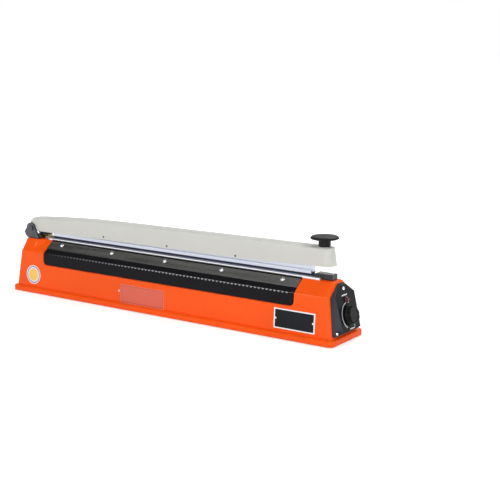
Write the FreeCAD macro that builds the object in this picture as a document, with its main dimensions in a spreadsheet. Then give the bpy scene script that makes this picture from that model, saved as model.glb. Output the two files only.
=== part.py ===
import FreeCAD, Part
import math
import os
import re

import Sketcher

# Impulse heat sealer, table top, hand pressed. Millimetres.
# X runs along the sealing line from the hinge to the press knob, Y from front to back, Z up.
# The origin is on the floor under the middle of the flange. The arm is modelled closed.

SIZES = {
    # Housing: a long casting with a foot flange, leaning walls and a narrow flat top
    "length": 648.0,
    "depth": 95.0,
    "foot_height": 1.5,
    "flange_height": 9.0,
    "flange_corner": 8.0,
    "flange_bevel": 1.6,
    "wall_inset_side": 7.3,
    "wall_inset_end": 5.5,
    "wall_inset_heel": 3.0,
    "shoulder_height": 71.5,
    "top_height": 90.5,
    "top_half": 12.5,
    "slope_angle": 38.6,
    "end_lean": 7.9,
    "edge_round": 5.5,
    "wall": 4.0,
    "pedestal_half": 21.0,
    "pedestal_reach": 17.0,
    "pedestal_taper": 15.0,
    "pedestal_sink": 1.0,
    # Recess in the front for the folded plate
    "recess_depth": 2.0,
    "recess_left": 65.5,
    "recess_right": 72.0,
    "recess_drop": 20.7,
    "recess_corner": 8.0,
    # Folded front plate with a row of slots along its bend
    "plate_thickness": 1.2,
    "plate_gap": 1.0,
    "plate_bend": 1.0,
    "slot_length": 3.6,
    "slot_reach": 0.8,
    "slot_depth": 1.5,
    "slot_pitch": 7.1,
    "slot_margin": 12.0,
    # Clamp strip and its screws on the front slope
    "clamp_width": 17.0,
    "clamp_thickness": 1.0,
    "clamp_low": 10.9,
    "clamp_screw_left": 28.5,
    "clamp_screw_right": 31.0,
    "clamp_screw_rise": 11.5,
    "clamp_screw_head": 3.7,
    "clamp_screw_dome": 2.3,
    "clamp_screw_shank": 2.0,
    "clamp_screw_reach": 6.5,
    "screw_clearance": 0.1,
    # Sealing platform with tape, ribbon and cover
    "platform_half": 13.2,
    "platform_thickness": 3.0,
    "platform_left": 41.0,
    "platform_right": 42.0,
    "platform_taper": 18.0,
    "platform_tip_half": 4.5,
    "tape_thickness": 0.3,
    "tape_half": 5.0,
    "ribbon_thickness": 0.25,
    "ribbon_half": 2.0,
    "cover_thickness": 0.3,
    "cover_half": 6.3,
    "cover_inset": 16.0,
    # Element terminals
    "terminal_length": 9.0,
    "terminal_half": 3.8,
    "terminal_height": 2.4,
    "terminal_left": 4.8,
    "terminal_right": 42.0,
    "terminal_screw_head": 2.4,
    "terminal_screw_dome": 1.0,
    "terminal_screw_shank": 1.2,
    # Moulded cover over the right terminal
    "lid_left": 58.0,
    "lid_right": 23.5,
    "lid_half": 7.0,
    "lid_height": 5.8,
    "lid_wall": 1.3,
    "lid_ramp": 5.5,
    "lid_screw_inset": 4.2,
    "lid_gap": 0.3,
    # Hinge
    "hinge_inset": 20.0,
    "hinge_rise": 17.5,
    "pin_radius": 3.0,
    "pin_head": 4.4,
    "pin_head_height": 1.6,
    "running_clearance": 0.05,
    "ear_gap": 0.7,
    "ear_thickness": 3.4,
    "ear_radius": 9.5,
    "ear_shift": 1.5,
    "bracket_plate": 2.5,
    "bracket_heel": 16.7,
    "bracket_tail": 10.0,
    "bracket_base": 8.0,
    "bracket_foot": 17.0,
    "bracket_lip": 3.5,
    "hinge_screw_inset": 5.0,
    "hinge_screw_spread": 7.0,
    "hinge_screw_head": 3.2,
    "hinge_screw_dome": 2.0,
    "hinge_screw_shank": 1.9,
    "hinge_screw_reach": 6.0,
    # Return spring round the hinge bush
    "spring_radius": 6.3,
    "spring_wire": 1.2,
    "spring_pitch": 1.75,
    "spring_offset": 10.0,
    "spring_leg": 22.0,
    "spring_foot": 10.0,
    # Arm
    "arm_half": 13.5,
    "arm_wall": 2.0,
    "arm_roof": 2.5,
    "arm_heel": 10.0,
    "heel_lean": 6.0,
    "heel_rise": 7.0,
    "arm_end": 23.2,
    "nose_lean": 3.9,
    "arm_plan_round": 12.0,
    "arm_bevel": 1.2,
    "heel_round": 5.0,
    "rim_left": 6.0,
    "rim_knee": 10.0,
    "rim_right": 14.9,
    "rim_knee_place": 183.0,
    "crown_heel": 28.0,
    "crown_back": 37.9,
    "crown_back_place": 194.0,
    "seat_rise": 42.4,
    "seat_place": 62.0,
    "bush_radius": 5.0,
    # Press bar and its rubber
    "closed_gap": 0.1,
    "rubber_show": 2.5,
    "rubber_half": 4.0,
    "rubber_key": 1.8,
    "rubber_overhang": 0.5,
    "bar_half": 6.5,
    "bar_height": 16.0,
    "bar_left": 62.0,
    "bar_right": 61.0,
    "bar_groove_rise": 5.2,
    "bar_groove_height": 1.6,
    "bar_groove_depth": 1.5,
    "bar_pin_rise": 12.4,
    "bar_pin_left": 122.0,
    "bar_pin_right": 133.0,
    "bar_pin_radius": 1.3,
    "bar_pin_head": 1.9,
    "bar_pin_dome": 0.5,
    # Press knob on the arm
    "press_place": 42.0,
    "press_stem": 9.2,
    "press_stem_height": 11.7,
    "press_disc": 21.6,
    "press_disc_height": 3.8,
    "press_disc_lip": 0.9,
    "press_screw_shank": 2.5,
    "press_screw_head": 4.5,
    "press_screw_dome": 2.6,
    "press_screw_reach": 9.0,
    # Control panel on the right end
    "panel_gap": 3.0,
    "panel_rim": 4.4,
    "panel_foot_half": 36.0,
    "panel_shoulder_half": 30.0,
    "panel_shoulder": 61.0,
    "panel_apex_half": 5.0,
    "panel_apex": 78.0,
    "panel_tilt": 6.4,
    "panel_rise": 14.5,
    "panel_face_foot": 7.5,
    "panel_face_half": 25.0,
    "panel_face_shoulder": 27.5,
    "panel_face_top": 75.0,
    "panel_face_top_half": 8.0,
    "panel_skin": 2.6,
    "panel_pocket_half": 18.0,
    "panel_pocket_low": 14.0,
    "panel_pocket_high": 62.0,
    "panel_screw_low": 8.0,
    "panel_screw_spread": 30.0,
    "panel_screw_high": 69.5,
    "panel_screw_seat": 5.6,
    "panel_screw_high_seat": 6.0,
    "panel_screw_head": 3.2,
    "panel_screw_dome": 1.8,
    "panel_screw_shank": 1.6,
    "panel_screw_reach": 7.0,
    # Lamp and timer
    "lamp_up": 52.9,
    "lamp_radius": 3.8,
    "lamp_collar": 4.8,
    "lamp_collar_height": 1.2,
    "lamp_dome": 4.5,
    "timer_up": 29.3,
    "timer_radius": 15.0,
    "timer_waist": 13.6,
    "timer_skirt": 2.4,
    "timer_height": 10.0,
    "timer_gap": 0.6,
    "timer_flute": 2.2,
    "shaft_radius": 3.0,
    "shaft_grip": 5.0,
    "pot_radius": 11.0,
    "pot_height": 9.0,
    "pot_bush": 4.8,
    "pot_bush_rise": 2.6,
    # Inside the housing
    "core_length": 66.0,
    "core_depth": 30.0,
    "core_height": 54.0,
    "core_leg": 11.0,
    "coil_bulge": 11.0,
    "core_place": 20.0,
    "board_length": 80.0,
    "board_depth": 46.0,
    "board_thickness": 1.6,
    "board_inset": 134.0,
    "spacer_height": 6.0,
    "spacer_radius": 3.0,
    "relay_length": 19.0,
    "relay_depth": 15.0,
    "relay_height": 15.0,
    "switch_length": 20.0,
    "switch_half": 3.2,
    "switch_height": 11.0,
    "plunger_radius": 2.5,
    "plunger_place": 8.0,
    "plunger_collar": 3.2,
    "plunger_collar_height": 1.6,
    "plunger_travel": 2.5,
    "striker_low": 6.8,
    "striker_height": 3.0,
    "striker_length": 7.0,
    "striker_reach": 3.0,
    # Underside
    "base_plate": 1.5,
    "base_plate_lap": 4.5,
    "base_plate_gap": 0.4,
    "base_screw_inset": 30.0,
    "base_screw_head": 2.6,
    "base_screw_dome": 1.2,
    "base_screw_shank": 1.3,
    "base_screw_reach": 6.0,
    "foot_radius": 8.0,
    "foot_inset_end": 38.0,
    "foot_inset_side": 20.0,
    # Cable gland in the back wall
    "gland_place": 94.0,
    "gland_rise": 30.0,
    "gland_flange": 8.5,
    "gland_flange_height": 2.6,
    "gland_neck": 6.0,
    "gland_clearance": 0.5,
    "gland_lip": 1.4,
    "gland_bore": 3.6,
}

CLAMP_SCREWS = 5
BAR_PINS = 3
SPRING_TURNS = 3
KNOB_FLUTES = 9
SCREW_SIDES = 8
WIRE_SIDES = 6
SPRING_POINTS = 400
HEAD_SIDES = 10
FOOT_SIDES = 20
LAMP_SIDES = 16
PRESS_SIDES = 32
SKIRT_SIDES = 36
SLACK = 2.0
FLUTE_FORM = ((0.0, 0.5), (0.13, 0.35), (0.24, 0.0), (0.5, 0.0), (0.76, 0.0), (0.87, 0.35))
CORNERS = ((-1, -1), (-1, 1), (1, -1), (1, 1))
TOLERANCE = 0.01

Vector = FreeCAD.Vector
doc = FreeCAD.newDocument("impulse_sealer")
sheet = doc.addObject("Spreadsheet::Sheet", "sizes")
for row, (alias, amount) in enumerate(SIZES.items(), start=1):
    sheet.set(f"A{row}", alias)
    sheet.set(f"B{row}", str(amount))
    sheet.setAlias(f"B{row}", alias)
doc.recompute()
parts = {}


class Size:
    """A number together with the sheet expression that gives it."""

    def __init__(self, value, text):
        self.value = value
        self.text = text

    def __add__(self, other):
        return Size(self.value + number(other), f"({self.text} + {expression(other)})")

    def __radd__(self, other):
        return Size(number(other) + self.value, f"({expression(other)} + {self.text})")

    def __sub__(self, other):
        return Size(self.value - number(other), f"({self.text} - {expression(other)})")

    def __rsub__(self, other):
        return Size(number(other) - self.value, f"({expression(other)} - {self.text})")

    def __mul__(self, other):
        return Size(self.value * number(other), f"({self.text} * {expression(other)})")

    __rmul__ = __mul__

    def __truediv__(self, other):
        return Size(self.value / number(other), f"({self.text} / {expression(other)})")

    def __neg__(self):
        return Size(-self.value, f"(-1 * {self.text})")


def number(size):
    return size.value if isinstance(size, Size) else float(size)


def expression(size):
    return size.text if isinstance(size, Size) else repr(float(size))


def of(alias):
    """The size that a cell of the sheet holds."""
    return Size(float(sheet.get(alias)), f"sizes.{alias}")


def sin(angle):
    return Size(math.sin(math.radians(angle.value)), f"sin({angle.text})")


def cos(angle):
    return Size(math.cos(math.radians(angle.value)), f"cos({angle.text})")


def tan(angle):
    return Size(math.tan(math.radians(angle.value)), f"tan({angle.text})")


def bind(thing, name, size):
    """Drive one property of an object from the sheet."""
    if isinstance(size, Size):
        thing.setExpression(name, size.text)
    else:
        setattr(thing, name, size)


def place(thing, x=0.0, y=0.0, z=0.0, axis=None, angle=0.0):
    """Stand an object at a point, turned about an axis."""
    turn = FreeCAD.Rotation(axis or Vector(0, 0, 1), number(angle))
    thing.Placement = FreeCAD.Placement(Vector(number(x), number(y), number(z)), turn)
    for name, size in (("x", x), ("y", y), ("z", z)):
        if isinstance(size, Size):
            thing.setExpression(f"Placement.Base.{name}", size.text)
    if isinstance(angle, Size):
        thing.setExpression("Placement.Rotation.Angle", angle.text)


def new_body(label):
    body = doc.addObject("PartDesign::Body", f"{label}_body")
    body.Label = label
    parts[label] = body
    return body


def new_sketch(body, role, offset=0.0, shift=None, axis=None, angle=None):
    """A sketch on one of the body's origin planes, lifted by offset or shifted and turned."""
    plane = next(item for item in body.Origin.OriginFeatures if item.Role == role)
    sketch = body.newObject("Sketcher::SketchObject", f"{body.Label}_sketch")
    sketch.AttachmentSupport = [(plane, "")]
    sketch.MapMode = "FlatFace"
    base = shift or (0.0, 0.0, offset)
    turn = FreeCAD.Rotation(axis, number(angle)) if axis else FreeCAD.Rotation()
    sketch.AttachmentOffset = FreeCAD.Placement(Vector(*[number(part) for part in base]), turn)
    for name, size in zip("xyz", base):
        if isinstance(size, Size):
            sketch.setExpression(f"AttachmentOffset.Base.{name}", size.text)
    if isinstance(angle, Size):
        sketch.setExpression("AttachmentOffset.Rotation.Angle", angle.text)
    return sketch


def pin_point(sketch, item, spot, x, y):
    """Hold one point of the sketch at sheet-driven coordinates."""
    for kind, size, axis in (("DistanceX", x, -2), ("DistanceY", y, -1)):
        if abs(number(size)) < 1e-9 and not isinstance(size, Size):
            sketch.addConstraint(Sketcher.Constraint("PointOnObject", item, spot, axis))
            continue
        index = sketch.addConstraint(Sketcher.Constraint(kind, -1, 1, item, spot, number(size)))
        if isinstance(size, Size):
            sketch.setExpression(f"Constraints[{index}]", size.text)


def polygon(sketch, points, bow=None):
    """A closed outline through the given corners; side number bow is an arc tangent to the one before."""
    first = sketch.GeometryCount
    count = len(points)
    flat = [Vector(number(x), number(y), 0) for x, y in points]
    for index in range(count):
        start = flat[index]
        end = flat[(index + 1) % count]
        side_line = Part.LineSegment(start, end)
        if index == bow:
            chord = end - start
            bulge = Vector(chord.y, -chord.x, 0) * 0.01
            side_line = Part.Arc(start, (start + end) * 0.5 + bulge, end)
        sketch.addGeometry(side_line)
    for index in range(count):
        follower = (index + 1) % count
        kind = "Tangent" if follower == bow else "Coincident"
        sketch.addConstraint(Sketcher.Constraint(kind, first + index, 2, first + follower, 1))
    for index, (x, y) in enumerate(points):
        pin_point(sketch, first + index, 1, x, y)


def rectangle(sketch, left, right, low, high):
    polygon(sketch, [(left, low), (right, low), (right, high), (left, high)])


def circle(sketch, x, y, radius):
    ring = Part.Circle(Vector(number(x), number(y), 0), Vector(0, 0, 1), number(radius))
    item = sketch.addGeometry(ring)
    pin_point(sketch, item, 3, x, y)
    index = sketch.addConstraint(Sketcher.Constraint("Radius", item, number(radius)))
    if isinstance(radius, Size):
        sketch.setExpression(f"Constraints[{index}]", radius.text)


def spoke(radius, share):
    """A point at a radius and a share of a whole turn."""
    turn = 2 * math.pi * share
    return radius * round(math.cos(turn), 6), radius * round(math.sin(turn), 6)


def many_sided(sketch, sides, radius, x=0.0, y=0.0):
    """A regular outline about a point."""
    corners = [spoke(radius, step / sides) for step in range(sides)]
    polygon(sketch, [(across + x, up + y) for across, up in corners])


def fluted(sketch, radius, flute):
    """A round outline with shallow hollows, drawn in short straight runs."""
    outline = []
    for step in range(KNOB_FLUTES):
        outline += [spoke(radius - flute * depth, (step + share) / KNOB_FLUTES)
                    for share, depth in FLUTE_FORM]
    polygon(sketch, outline)


def screw_hole(sketch, x, y, shank):
    """An eight-sided hole that clears a screw's shank."""
    reach = (shank + of("screw_clearance")) / math.cos(math.pi / SCREW_SIDES)
    many_sided(sketch, SCREW_SIDES, reach, x, y)


def extrude(body, kind, sketch, length, one_side=False, flip=False):
    """A Pad or a Pocket, to both sides of its sketch unless one_side is set."""
    before = body.Tip.Shape.Volume if kind == "Pocket" else 0.0
    feature = body.newObject(f"PartDesign::{kind}", f"{body.Label}_{kind.lower()}")
    feature.Profile = sketch
    feature.SideType = "One side" if one_side else "Symmetric"
    feature.Reversed = flip
    bind(feature, "Length", length)
    doc.recompute()
    if kind == "Pocket" and feature.Shape.Volume >= before - 1e-6:
        raise ValueError(f"a pocket of {body.Label} cuts nothing")
    return feature


def pad(body, sketch, length, **options):
    return extrude(body, "Pad", sketch, length, **options)


def pocket(body, sketch, length, **options):
    return extrude(body, "Pocket", sketch, length, **options)


def revolve(body, sketch):
    """Turn a sketch of the XZ plane once round the body's Z axis."""
    feature = body.newObject("PartDesign::Revolution", f"{body.Label}_revolution")
    feature.Profile = sketch
    feature.ReferenceAxis = (sketch, ["V_Axis"])
    feature.Angle = 360.0
    doc.recompute()
    return feature


def dress(body, kind, name, size, wanted):
    """Round or bevel the edges of the body's last feature that the test accepts."""
    base = body.Tip
    names = [f"Edge{index}" for index, edge in enumerate(base.Shape.Edges, start=1) if wanted(edge)]
    if not names:
        raise ValueError(f"no edge to work on {body.Label}")
    feature = body.newObject(f"PartDesign::{kind}", f"{body.Label}_{kind.lower()}")
    feature.Base = (base, names)
    bind(feature, name, size)
    doc.recompute()
    if feature.Shape.isNull():
        raise ValueError(f"an edge of {body.Label} cannot be worked")
    return feature


def fillet(body, radius, wanted):
    return dress(body, "Fillet", "Radius", radius, wanted)


def chamfer(body, size, wanted):
    return dress(body, "Chamfer", "Size", size, wanted)


def near(value, size):
    return abs(value - number(size)) < TOLERANCE


def spans(edge, **fixed):
    """True where every end of the edge has the given coordinates."""
    return all(near(getattr(end, axis), size) for end in edge.Vertexes for axis, size in fixed.items())


def runs_along(edge, axis):
    """True for a straight edge along one axis."""
    if len(edge.Vertexes) != 2 or edge.Curve.TypeId != "Part::GeomLine":
        return False
    step = edge.Vertexes[1].Point - edge.Vertexes[0].Point
    others = [abs(getattr(step, name)) for name in "xyz" if name != axis]
    return max(others) < TOLERANCE


def feature(label, shape, placement=None):
    """A sub-part whose solids are made directly, such as a group of equal fasteners."""
    thing = doc.addObject("Part::Feature", f"{label}_feature")
    thing.Label = label
    thing.Shape = shape
    if placement:
        thing.Placement = placement
    parts[label] = thing
    return thing


def ring_of_corners(sides, radius, z):
    turns = [2 * math.pi * step / sides for step in range(sides)]
    return [Vector(radius * math.cos(turn), radius * math.sin(turn), z) for turn in turns]


def loop(corners):
    return Part.makePolygon(corners + corners[:1])


def prism(sides, rings):
    """A flat-faced solid through rings of corners, given as radius and height."""
    hoops = [ring_of_corners(sides, radius, z) for radius, z in rings]
    outlines = [hoops[0], hoops[-1]]
    for low, high in zip(hoops, hoops[1:]):
        for step in range(sides):
            after = (step + 1) % sides
            outlines.append([low[step], low[after], high[after], high[step]])
    return Part.Solid(Part.Shell([Part.Face(loop(outline)) for outline in outlines]))


def domed_screw(head, dome, shank, reach):
    """A round-headed screw standing on the XY plane, shank down."""
    crown = prism(HEAD_SIDES, [(head, 0.0), (head - dome / 2, dome)])
    return crown.fuse(prism(SCREW_SIDES, [(shank, -reach), (shank, 0.0)]))


def screw_group(label, prefix, frames, reach=None):
    """Equal round-headed screws, one at each frame, as one sub-part."""
    sizes = [of(f"{prefix}_{name}").value for name in ("head", "dome", "shank")]
    depth = reach if reach is not None else of(f"{prefix}_reach").value
    screws = []
    for frame in frames:
        screw = domed_screw(*sizes, depth)
        screw.Placement = frame
        screws.append(screw)
    feature(label, Part.makeCompound(screws))


def frame_at(x, y, z, axis=Vector(0, 0, 1), angle=0.0):
    spot = Vector(number(x), number(y), number(z))
    return FreeCAD.Placement(spot, FreeCAD.Rotation(axis, number(angle)))


# Levels and lines that several pieces share
left = -of("length") / 2
right = of("length") / 2
side = of("depth") / 2
flange_low = of("foot_height")
flange_top = flange_low + of("flange_height")
shoulder = of("shoulder_height")
top = of("top_height")
wall_half = side - of("wall_inset_side")
end_half = right - of("wall_inset_end")
heel_half = -left - of("wall_inset_heel")
lean_run = tan(of("end_lean")) * (top - flange_top)
shoulder_half = of("top_half") + (top - shoulder) / tan(of("slope_angle"))
wall_draft = (wall_half - shoulder_half) / (shoulder - flange_top)
cavity_half = end_half - lean_run - of("wall")
cavity_side = wall_half - of("wall")
cavity_top = top - of("wall")
half_turn = Size(45.0, "45") - of("slope_angle") / 2

recess_from = left + of("recess_left")
recess_to = right - of("recess_right")
recess_middle = (recess_from + recess_to) / 2
recess_span = recess_to - recess_from
recess_low = shoulder - of("recess_drop")

platform_top = top + of("platform_thickness")
tape_top = platform_top + of("tape_thickness")
ribbon_top = tape_top + of("ribbon_thickness")
cover_top = ribbon_top + of("cover_thickness")
bar_low = cover_top + of("closed_gap") + of("rubber_show")
bar_from = left + of("bar_left")
bar_to = right - of("bar_right")
bar_middle = (bar_from + bar_to) / 2
tongue_end = right - of("lid_right") - of("lid_screw_inset") * 2 - of("lid_gap")

pin_x = left + of("hinge_inset")
pin_z = top + of("hinge_rise")
ear_inner = of("arm_half") + of("ear_gap")
ear_outer = ear_inner + of("ear_thickness")
arm_from = pin_x - of("arm_heel")
arm_to = right - of("arm_end")
seat_z = bar_low + of("seat_rise")
press_x = right - of("press_place")
plunger_x = pin_x + of("plunger_place")
striker_z = pin_z - of("striker_low")


def front_wall(z):
    """Y of the housing's front wall at a height."""
    return -(shoulder_half + wall_draft * (shoulder - z))


def bend_corner(depth):
    """The corner between slope and front wall on a skin that lies depth below the surface."""
    return -(shoulder_half - depth), shoulder - depth * tan(half_turn)


def slope_point(depth, z):
    """A point of the skin under the front slope at a height."""
    y, corner_z = bend_corner(depth)
    return y + (z - corner_z) / tan(of("slope_angle")), z


def clamp_places():
    """X of the clamp screws, spread evenly along the recess."""
    first = recess_from + of("clamp_screw_left")
    step = (recess_to - of("clamp_screw_right") - first) / (CLAMP_SCREWS - 1)
    return [first + step * index for index in range(CLAMP_SCREWS)]


clamp_line = of("clamp_low") + of("clamp_screw_rise")


def slope_holes(body):
    """Holes square to the front slope, one for each clamp screw."""
    frame = (0.0, -shoulder_half, shoulder)
    sketch = new_sketch(body, "XY_Plane", shift=frame, axis=Vector(1, 0, 0), angle=of("slope_angle"))
    for x in clamp_places():
        screw_hole(sketch, x, clamp_line, of("clamp_screw_shank"))
    pocket(body, sketch, of("clamp_screw_reach") * 4)


def base_plate_screw_places():
    reach = right - of("base_screw_inset")
    lap = cavity_side + of("base_plate_lap") / 2
    return [(x, y * lap) for x in (-reach, 0.0, reach) for y in (-1, 1)]


def panel_point(up, out):
    """Global X and Z of a point of the panel: up along the end wall and out from it."""
    lean = of("end_lean")
    x = end_half - up * sin(lean) + out * cos(lean)
    z = flange_top + up * cos(lean) + out * sin(lean)
    return x, z


def face_out(up):
    """How far the panel's tilted face stands off the end wall."""
    return of("panel_rise") - up * tan(of("panel_tilt"))


def panel_screw_places():
    """Up, across and seat height of the panel's three screws."""
    low = of("panel_screw_low")
    seat = of("panel_screw_seat")
    spread = of("panel_screw_spread")
    return [(low, -spread, seat), (low, spread, seat),
            (of("panel_screw_high"), 0.0, of("panel_screw_high_seat"))]


def base_housing():
    body = new_body("base_housing")
    section = new_sketch(body, "YZ_Plane", offset=(end_half - heel_half) / 2)
    half = [(wall_half, flange_low), (wall_half, flange_top), (shoulder_half, shoulder),
            (of("top_half"), top)]
    polygon(section, half + [(-y, z) for y, z in reversed(half)])
    pad(body, section, end_half + heel_half)
    lean_top = tan(of("end_lean")) * (top + SLACK - flange_top)
    for end, half_length in ((-1, heel_half), (1, end_half)):
        wedge = new_sketch(body, "XZ_Plane")
        outer = (half_length + SLACK) * end
        polygon(wedge, [(half_length * end, flange_top), (outer, flange_top), (outer, top + SLACK),
                        ((half_length - lean_top) * end, top + SLACK)])
        pocket(body, wedge, of("depth") * 2)

    def outer_edge(edge):
        ends = edge.Vertexes
        along = runs_along(edge, "x") and ends[0].Z > number(flange_top) + TOLERANCE
        sloped = all(end.Z > number(flange_top) - TOLERANCE for end in ends)
        upright = sloped and max(end.Z for end in ends) - min(end.Z for end in ends) > TOLERANCE
        over = runs_along(edge, "y") and near(ends[0].Z, top)
        return along or upright or over

    fillet(body, of("edge_round"), outer_edge)
    hinge_pedestal(body)
    flange = new_sketch(body, "XY_Plane", offset=flange_low)
    rectangle(flange, left, right, -side, side)
    pad(body, flange, of("flange_height"), one_side=True)
    fillet(body, of("flange_corner"), lambda edge: runs_along(edge, "z")
           and near(abs(edge.Vertexes[0].X), right) and near(abs(edge.Vertexes[0].Y), side))
    chamfer(body, of("flange_bevel"), lambda edge: spans(edge, Z=flange_top)
            and runs_along(edge, "x") and near(abs(edge.Vertexes[0].Y), side))

    cavity = new_sketch(body, "YZ_Plane")
    inner_y, inner_z = bend_corner(of("wall"))
    roof_half = of("top_half") - of("wall") * tan(of("slope_angle") / 2)
    room = [(cavity_side, flange_low - SLACK), (cavity_side, flange_top), (-inner_y, inner_z),
            (roof_half, cavity_top)]
    polygon(cavity, room + [(-y, z) for y, z in reversed(room)])
    pocket(body, cavity, cavity_half * 2)
    lap = of("base_plate_lap") + of("base_plate_gap")
    rebate = new_sketch(body, "XY_Plane", offset=flange_low)
    rectangle(rebate, -cavity_half - lap, cavity_half + lap, -cavity_side - lap, cavity_side + lap)
    pocket(body, rebate, of("base_plate") * 2)

    recess = new_sketch(body, "YZ_Plane", offset=recess_middle)
    outside = -(wall_half + SLACK)
    polygon(recess, [(front_wall(recess_low) + of("recess_depth"), recess_low),
                     bend_corner(of("recess_depth")), slope_point(of("recess_depth"), top + SLACK),
                     (outside, top + SLACK), (outside, recess_low)])
    pocket(body, recess, recess_span)
    fillet(body, of("recess_corner"), lambda edge: runs_along(edge, "y") and spans(edge, Z=recess_low)
           and (spans(edge, X=recess_from) or spans(edge, X=recess_to)))
    slope_holes(body)

    window = new_sketch(body, "YZ_Plane", offset=end_half)
    middle_up = (of("panel_pocket_low") + of("panel_pocket_high")) / 2
    window_z = panel_point(middle_up, 0.0)[1]
    reach = (of("panel_pocket_high") - of("panel_pocket_low")) / 2
    rectangle(window, -of("panel_pocket_half"), of("panel_pocket_half"), window_z - reach, window_z + reach)
    pocket(body, window, (end_half - cavity_half) * 2 + SLACK)
    for up, across, _ in panel_screw_places():
        x, z = panel_point(up, 0.0)
        hole = new_sketch(body, "XY_Plane", shift=(x, 0.0, z), axis=Vector(0, 1, 0),
                          angle=Size(90.0, "90") - of("end_lean"))
        screw_hole(hole, 0.0, across, of("panel_screw_shank"))
        pocket(body, hole, of("panel_screw_reach") * 2)

    drilled = new_sketch(body, "XY_Plane", offset=top)
    hinge_x = pin_x + of("bracket_foot") - of("hinge_screw_inset")
    for across in (-1, 1):
        screw_hole(drilled, hinge_x, of("hinge_screw_spread") * across, of("hinge_screw_shank"))
    circle(drilled, plunger_x, 0.0, of("plunger_radius") + of("running_clearance"))
    screw_hole(drilled, right - of("lid_right") - of("lid_screw_inset"), 0.0, of("terminal_screw_shank"))
    pocket(body, drilled, of("wall") * 2.5)
    pilot = new_sketch(body, "XY_Plane", offset=flange_low + of("base_plate"))
    for x, y in base_plate_screw_places():
        screw_hole(pilot, x, y, of("base_screw_shank"))
    pocket(body, pilot, of("base_screw_reach") * 2)
    inlet = new_sketch(body, "XZ_Plane", offset=-wall_half)
    circle(inlet, right - of("gland_place"), of("gland_rise"), of("gland_neck") + of("gland_clearance"))
    pocket(body, inlet, of("wall") * 4)


def hinge_pedestal(body):
    """The housing's top widens at the hinge end to carry the bracket, and tapers back into the slopes."""
    sections = []
    heel = lean_run - heel_half
    widest = pin_x + of("pedestal_reach")
    for x, half in ((heel, of("pedestal_half")), (widest, of("pedestal_half")),
                    (widest + of("pedestal_taper"), of("top_half"))):
        section = new_sketch(body, "YZ_Plane", offset=x)
        foot = shoulder_half - of("pedestal_sink")
        low = shoulder - of("pedestal_sink")
        polygon(section, [(-foot, low), (foot, low), (half, top), (-half, top)])
        sections.append(section)
    loft = body.newObject("PartDesign::AdditiveLoft", "base_housing_pedestal")
    loft.Profile = sections[0]
    loft.Sections = sections[1:]
    loft.Ruled = True
    doc.recompute()


def front_plate():
    body = new_body("front_plate")
    fold = new_sketch(body, "YZ_Plane", offset=recess_middle)
    inner = of("recess_depth")
    outer = of("recess_depth") - of("plate_thickness")
    low = recess_low + of("plate_gap")
    high = top - of("plate_gap")
    bend_y, bend_z = bend_corner(outer)
    bend_low = bend_z - of("plate_bend")
    bend_high = bend_z + of("plate_bend") * sin(of("slope_angle"))
    polygon(fold, [(front_wall(low) + inner, low), bend_corner(inner), slope_point(inner, high),
                   slope_point(outer, high), slope_point(outer, bend_high),
                   (front_wall(bend_low) + outer, bend_low), (front_wall(low) + outer, low)])
    pad(body, fold, recess_span - of("plate_gap") * 2)
    fillet(body, of("recess_corner") - of("plate_gap"),
           lambda edge: runs_along(edge, "y") and spans(edge, Z=low))
    span = recess_span - of("slot_margin") * 2 - of("slot_length")
    count = 1 + int(span.value / of("slot_pitch").value)
    slot = new_sketch(body, "XY_Plane", offset=bend_z)
    first = recess_middle - of("slot_pitch") * (count - 1) / 2
    rectangle(slot, first - of("slot_length") / 2, first + of("slot_length") / 2,
              bend_y - SLACK, bend_y + of("slot_reach"))
    cut = pocket(body, slot, of("slot_depth") * 2)
    row_of_slots = body.newObject("PartDesign::LinearPattern", "front_plate_slots")
    row_of_slots.Originals = [cut]
    row_of_slots.Direction = (slot, ["H_Axis"])
    row_of_slots.Mode = "Spacing"
    bind(row_of_slots, "Offset", of("slot_pitch"))
    row_of_slots.Occurrences = count
    body.Tip = row_of_slots
    doc.recompute()
    slope_holes(body)


def clamp_strip():
    body = new_body("clamp_strip")
    low = of("plate_thickness") - of("recess_depth")
    outline = new_sketch(body, "XY_Plane", offset=low)
    rectangle(outline, recess_from + of("plate_gap"), recess_to - of("plate_gap"),
              of("clamp_low"), of("clamp_low") + of("clamp_width"))
    pad(body, outline, of("clamp_thickness"), one_side=True)
    holes = new_sketch(body, "XY_Plane", offset=low)
    for x in clamp_places():
        screw_hole(holes, x, clamp_line, of("clamp_screw_shank"))
    pocket(body, holes, of("clamp_thickness") * 3)
    place(body, y=-shoulder_half, z=shoulder, axis=Vector(1, 0, 0), angle=of("slope_angle"))
    lift = low + of("clamp_thickness")
    slope = FreeCAD.Rotation(Vector(1, 0, 0), of("slope_angle").value)
    frames = []
    for x in clamp_places():
        spot = slope.multVec(Vector(x.value, clamp_line.value, lift.value))
        spot += Vector(0, -shoulder_half.value, shoulder.value)
        frames.append(FreeCAD.Placement(spot, slope))
    screw_group("clamp_screws", "clamp_screw", frames)


def sealing_platform():
    body = new_body("sealing_platform")
    outline = new_sketch(body, "XY_Plane", offset=top)
    tip = left + of("platform_left")
    end = right - of("platform_right")
    waist = tip + of("platform_taper")
    half = of("platform_half")
    point = of("platform_tip_half")
    tongue_half = of("lid_half") - of("lid_wall") - of("lid_gap")
    near_half = [(tip, point), (waist, half), (end, half), (end, tongue_half), (tongue_end, tongue_half)]
    polygon(outline, [(x, -y) for x, y in near_half] + list(reversed(near_half)))
    pad(body, outline, of("platform_thickness"), one_side=True)
    holes = new_sketch(body, "XY_Plane", offset=top)
    for x in (tip + of("terminal_left"), right - of("terminal_right")):
        screw_hole(holes, x, 0.0, of("terminal_screw_shank"))
    pocket(body, holes, of("platform_thickness") * 3)


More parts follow.
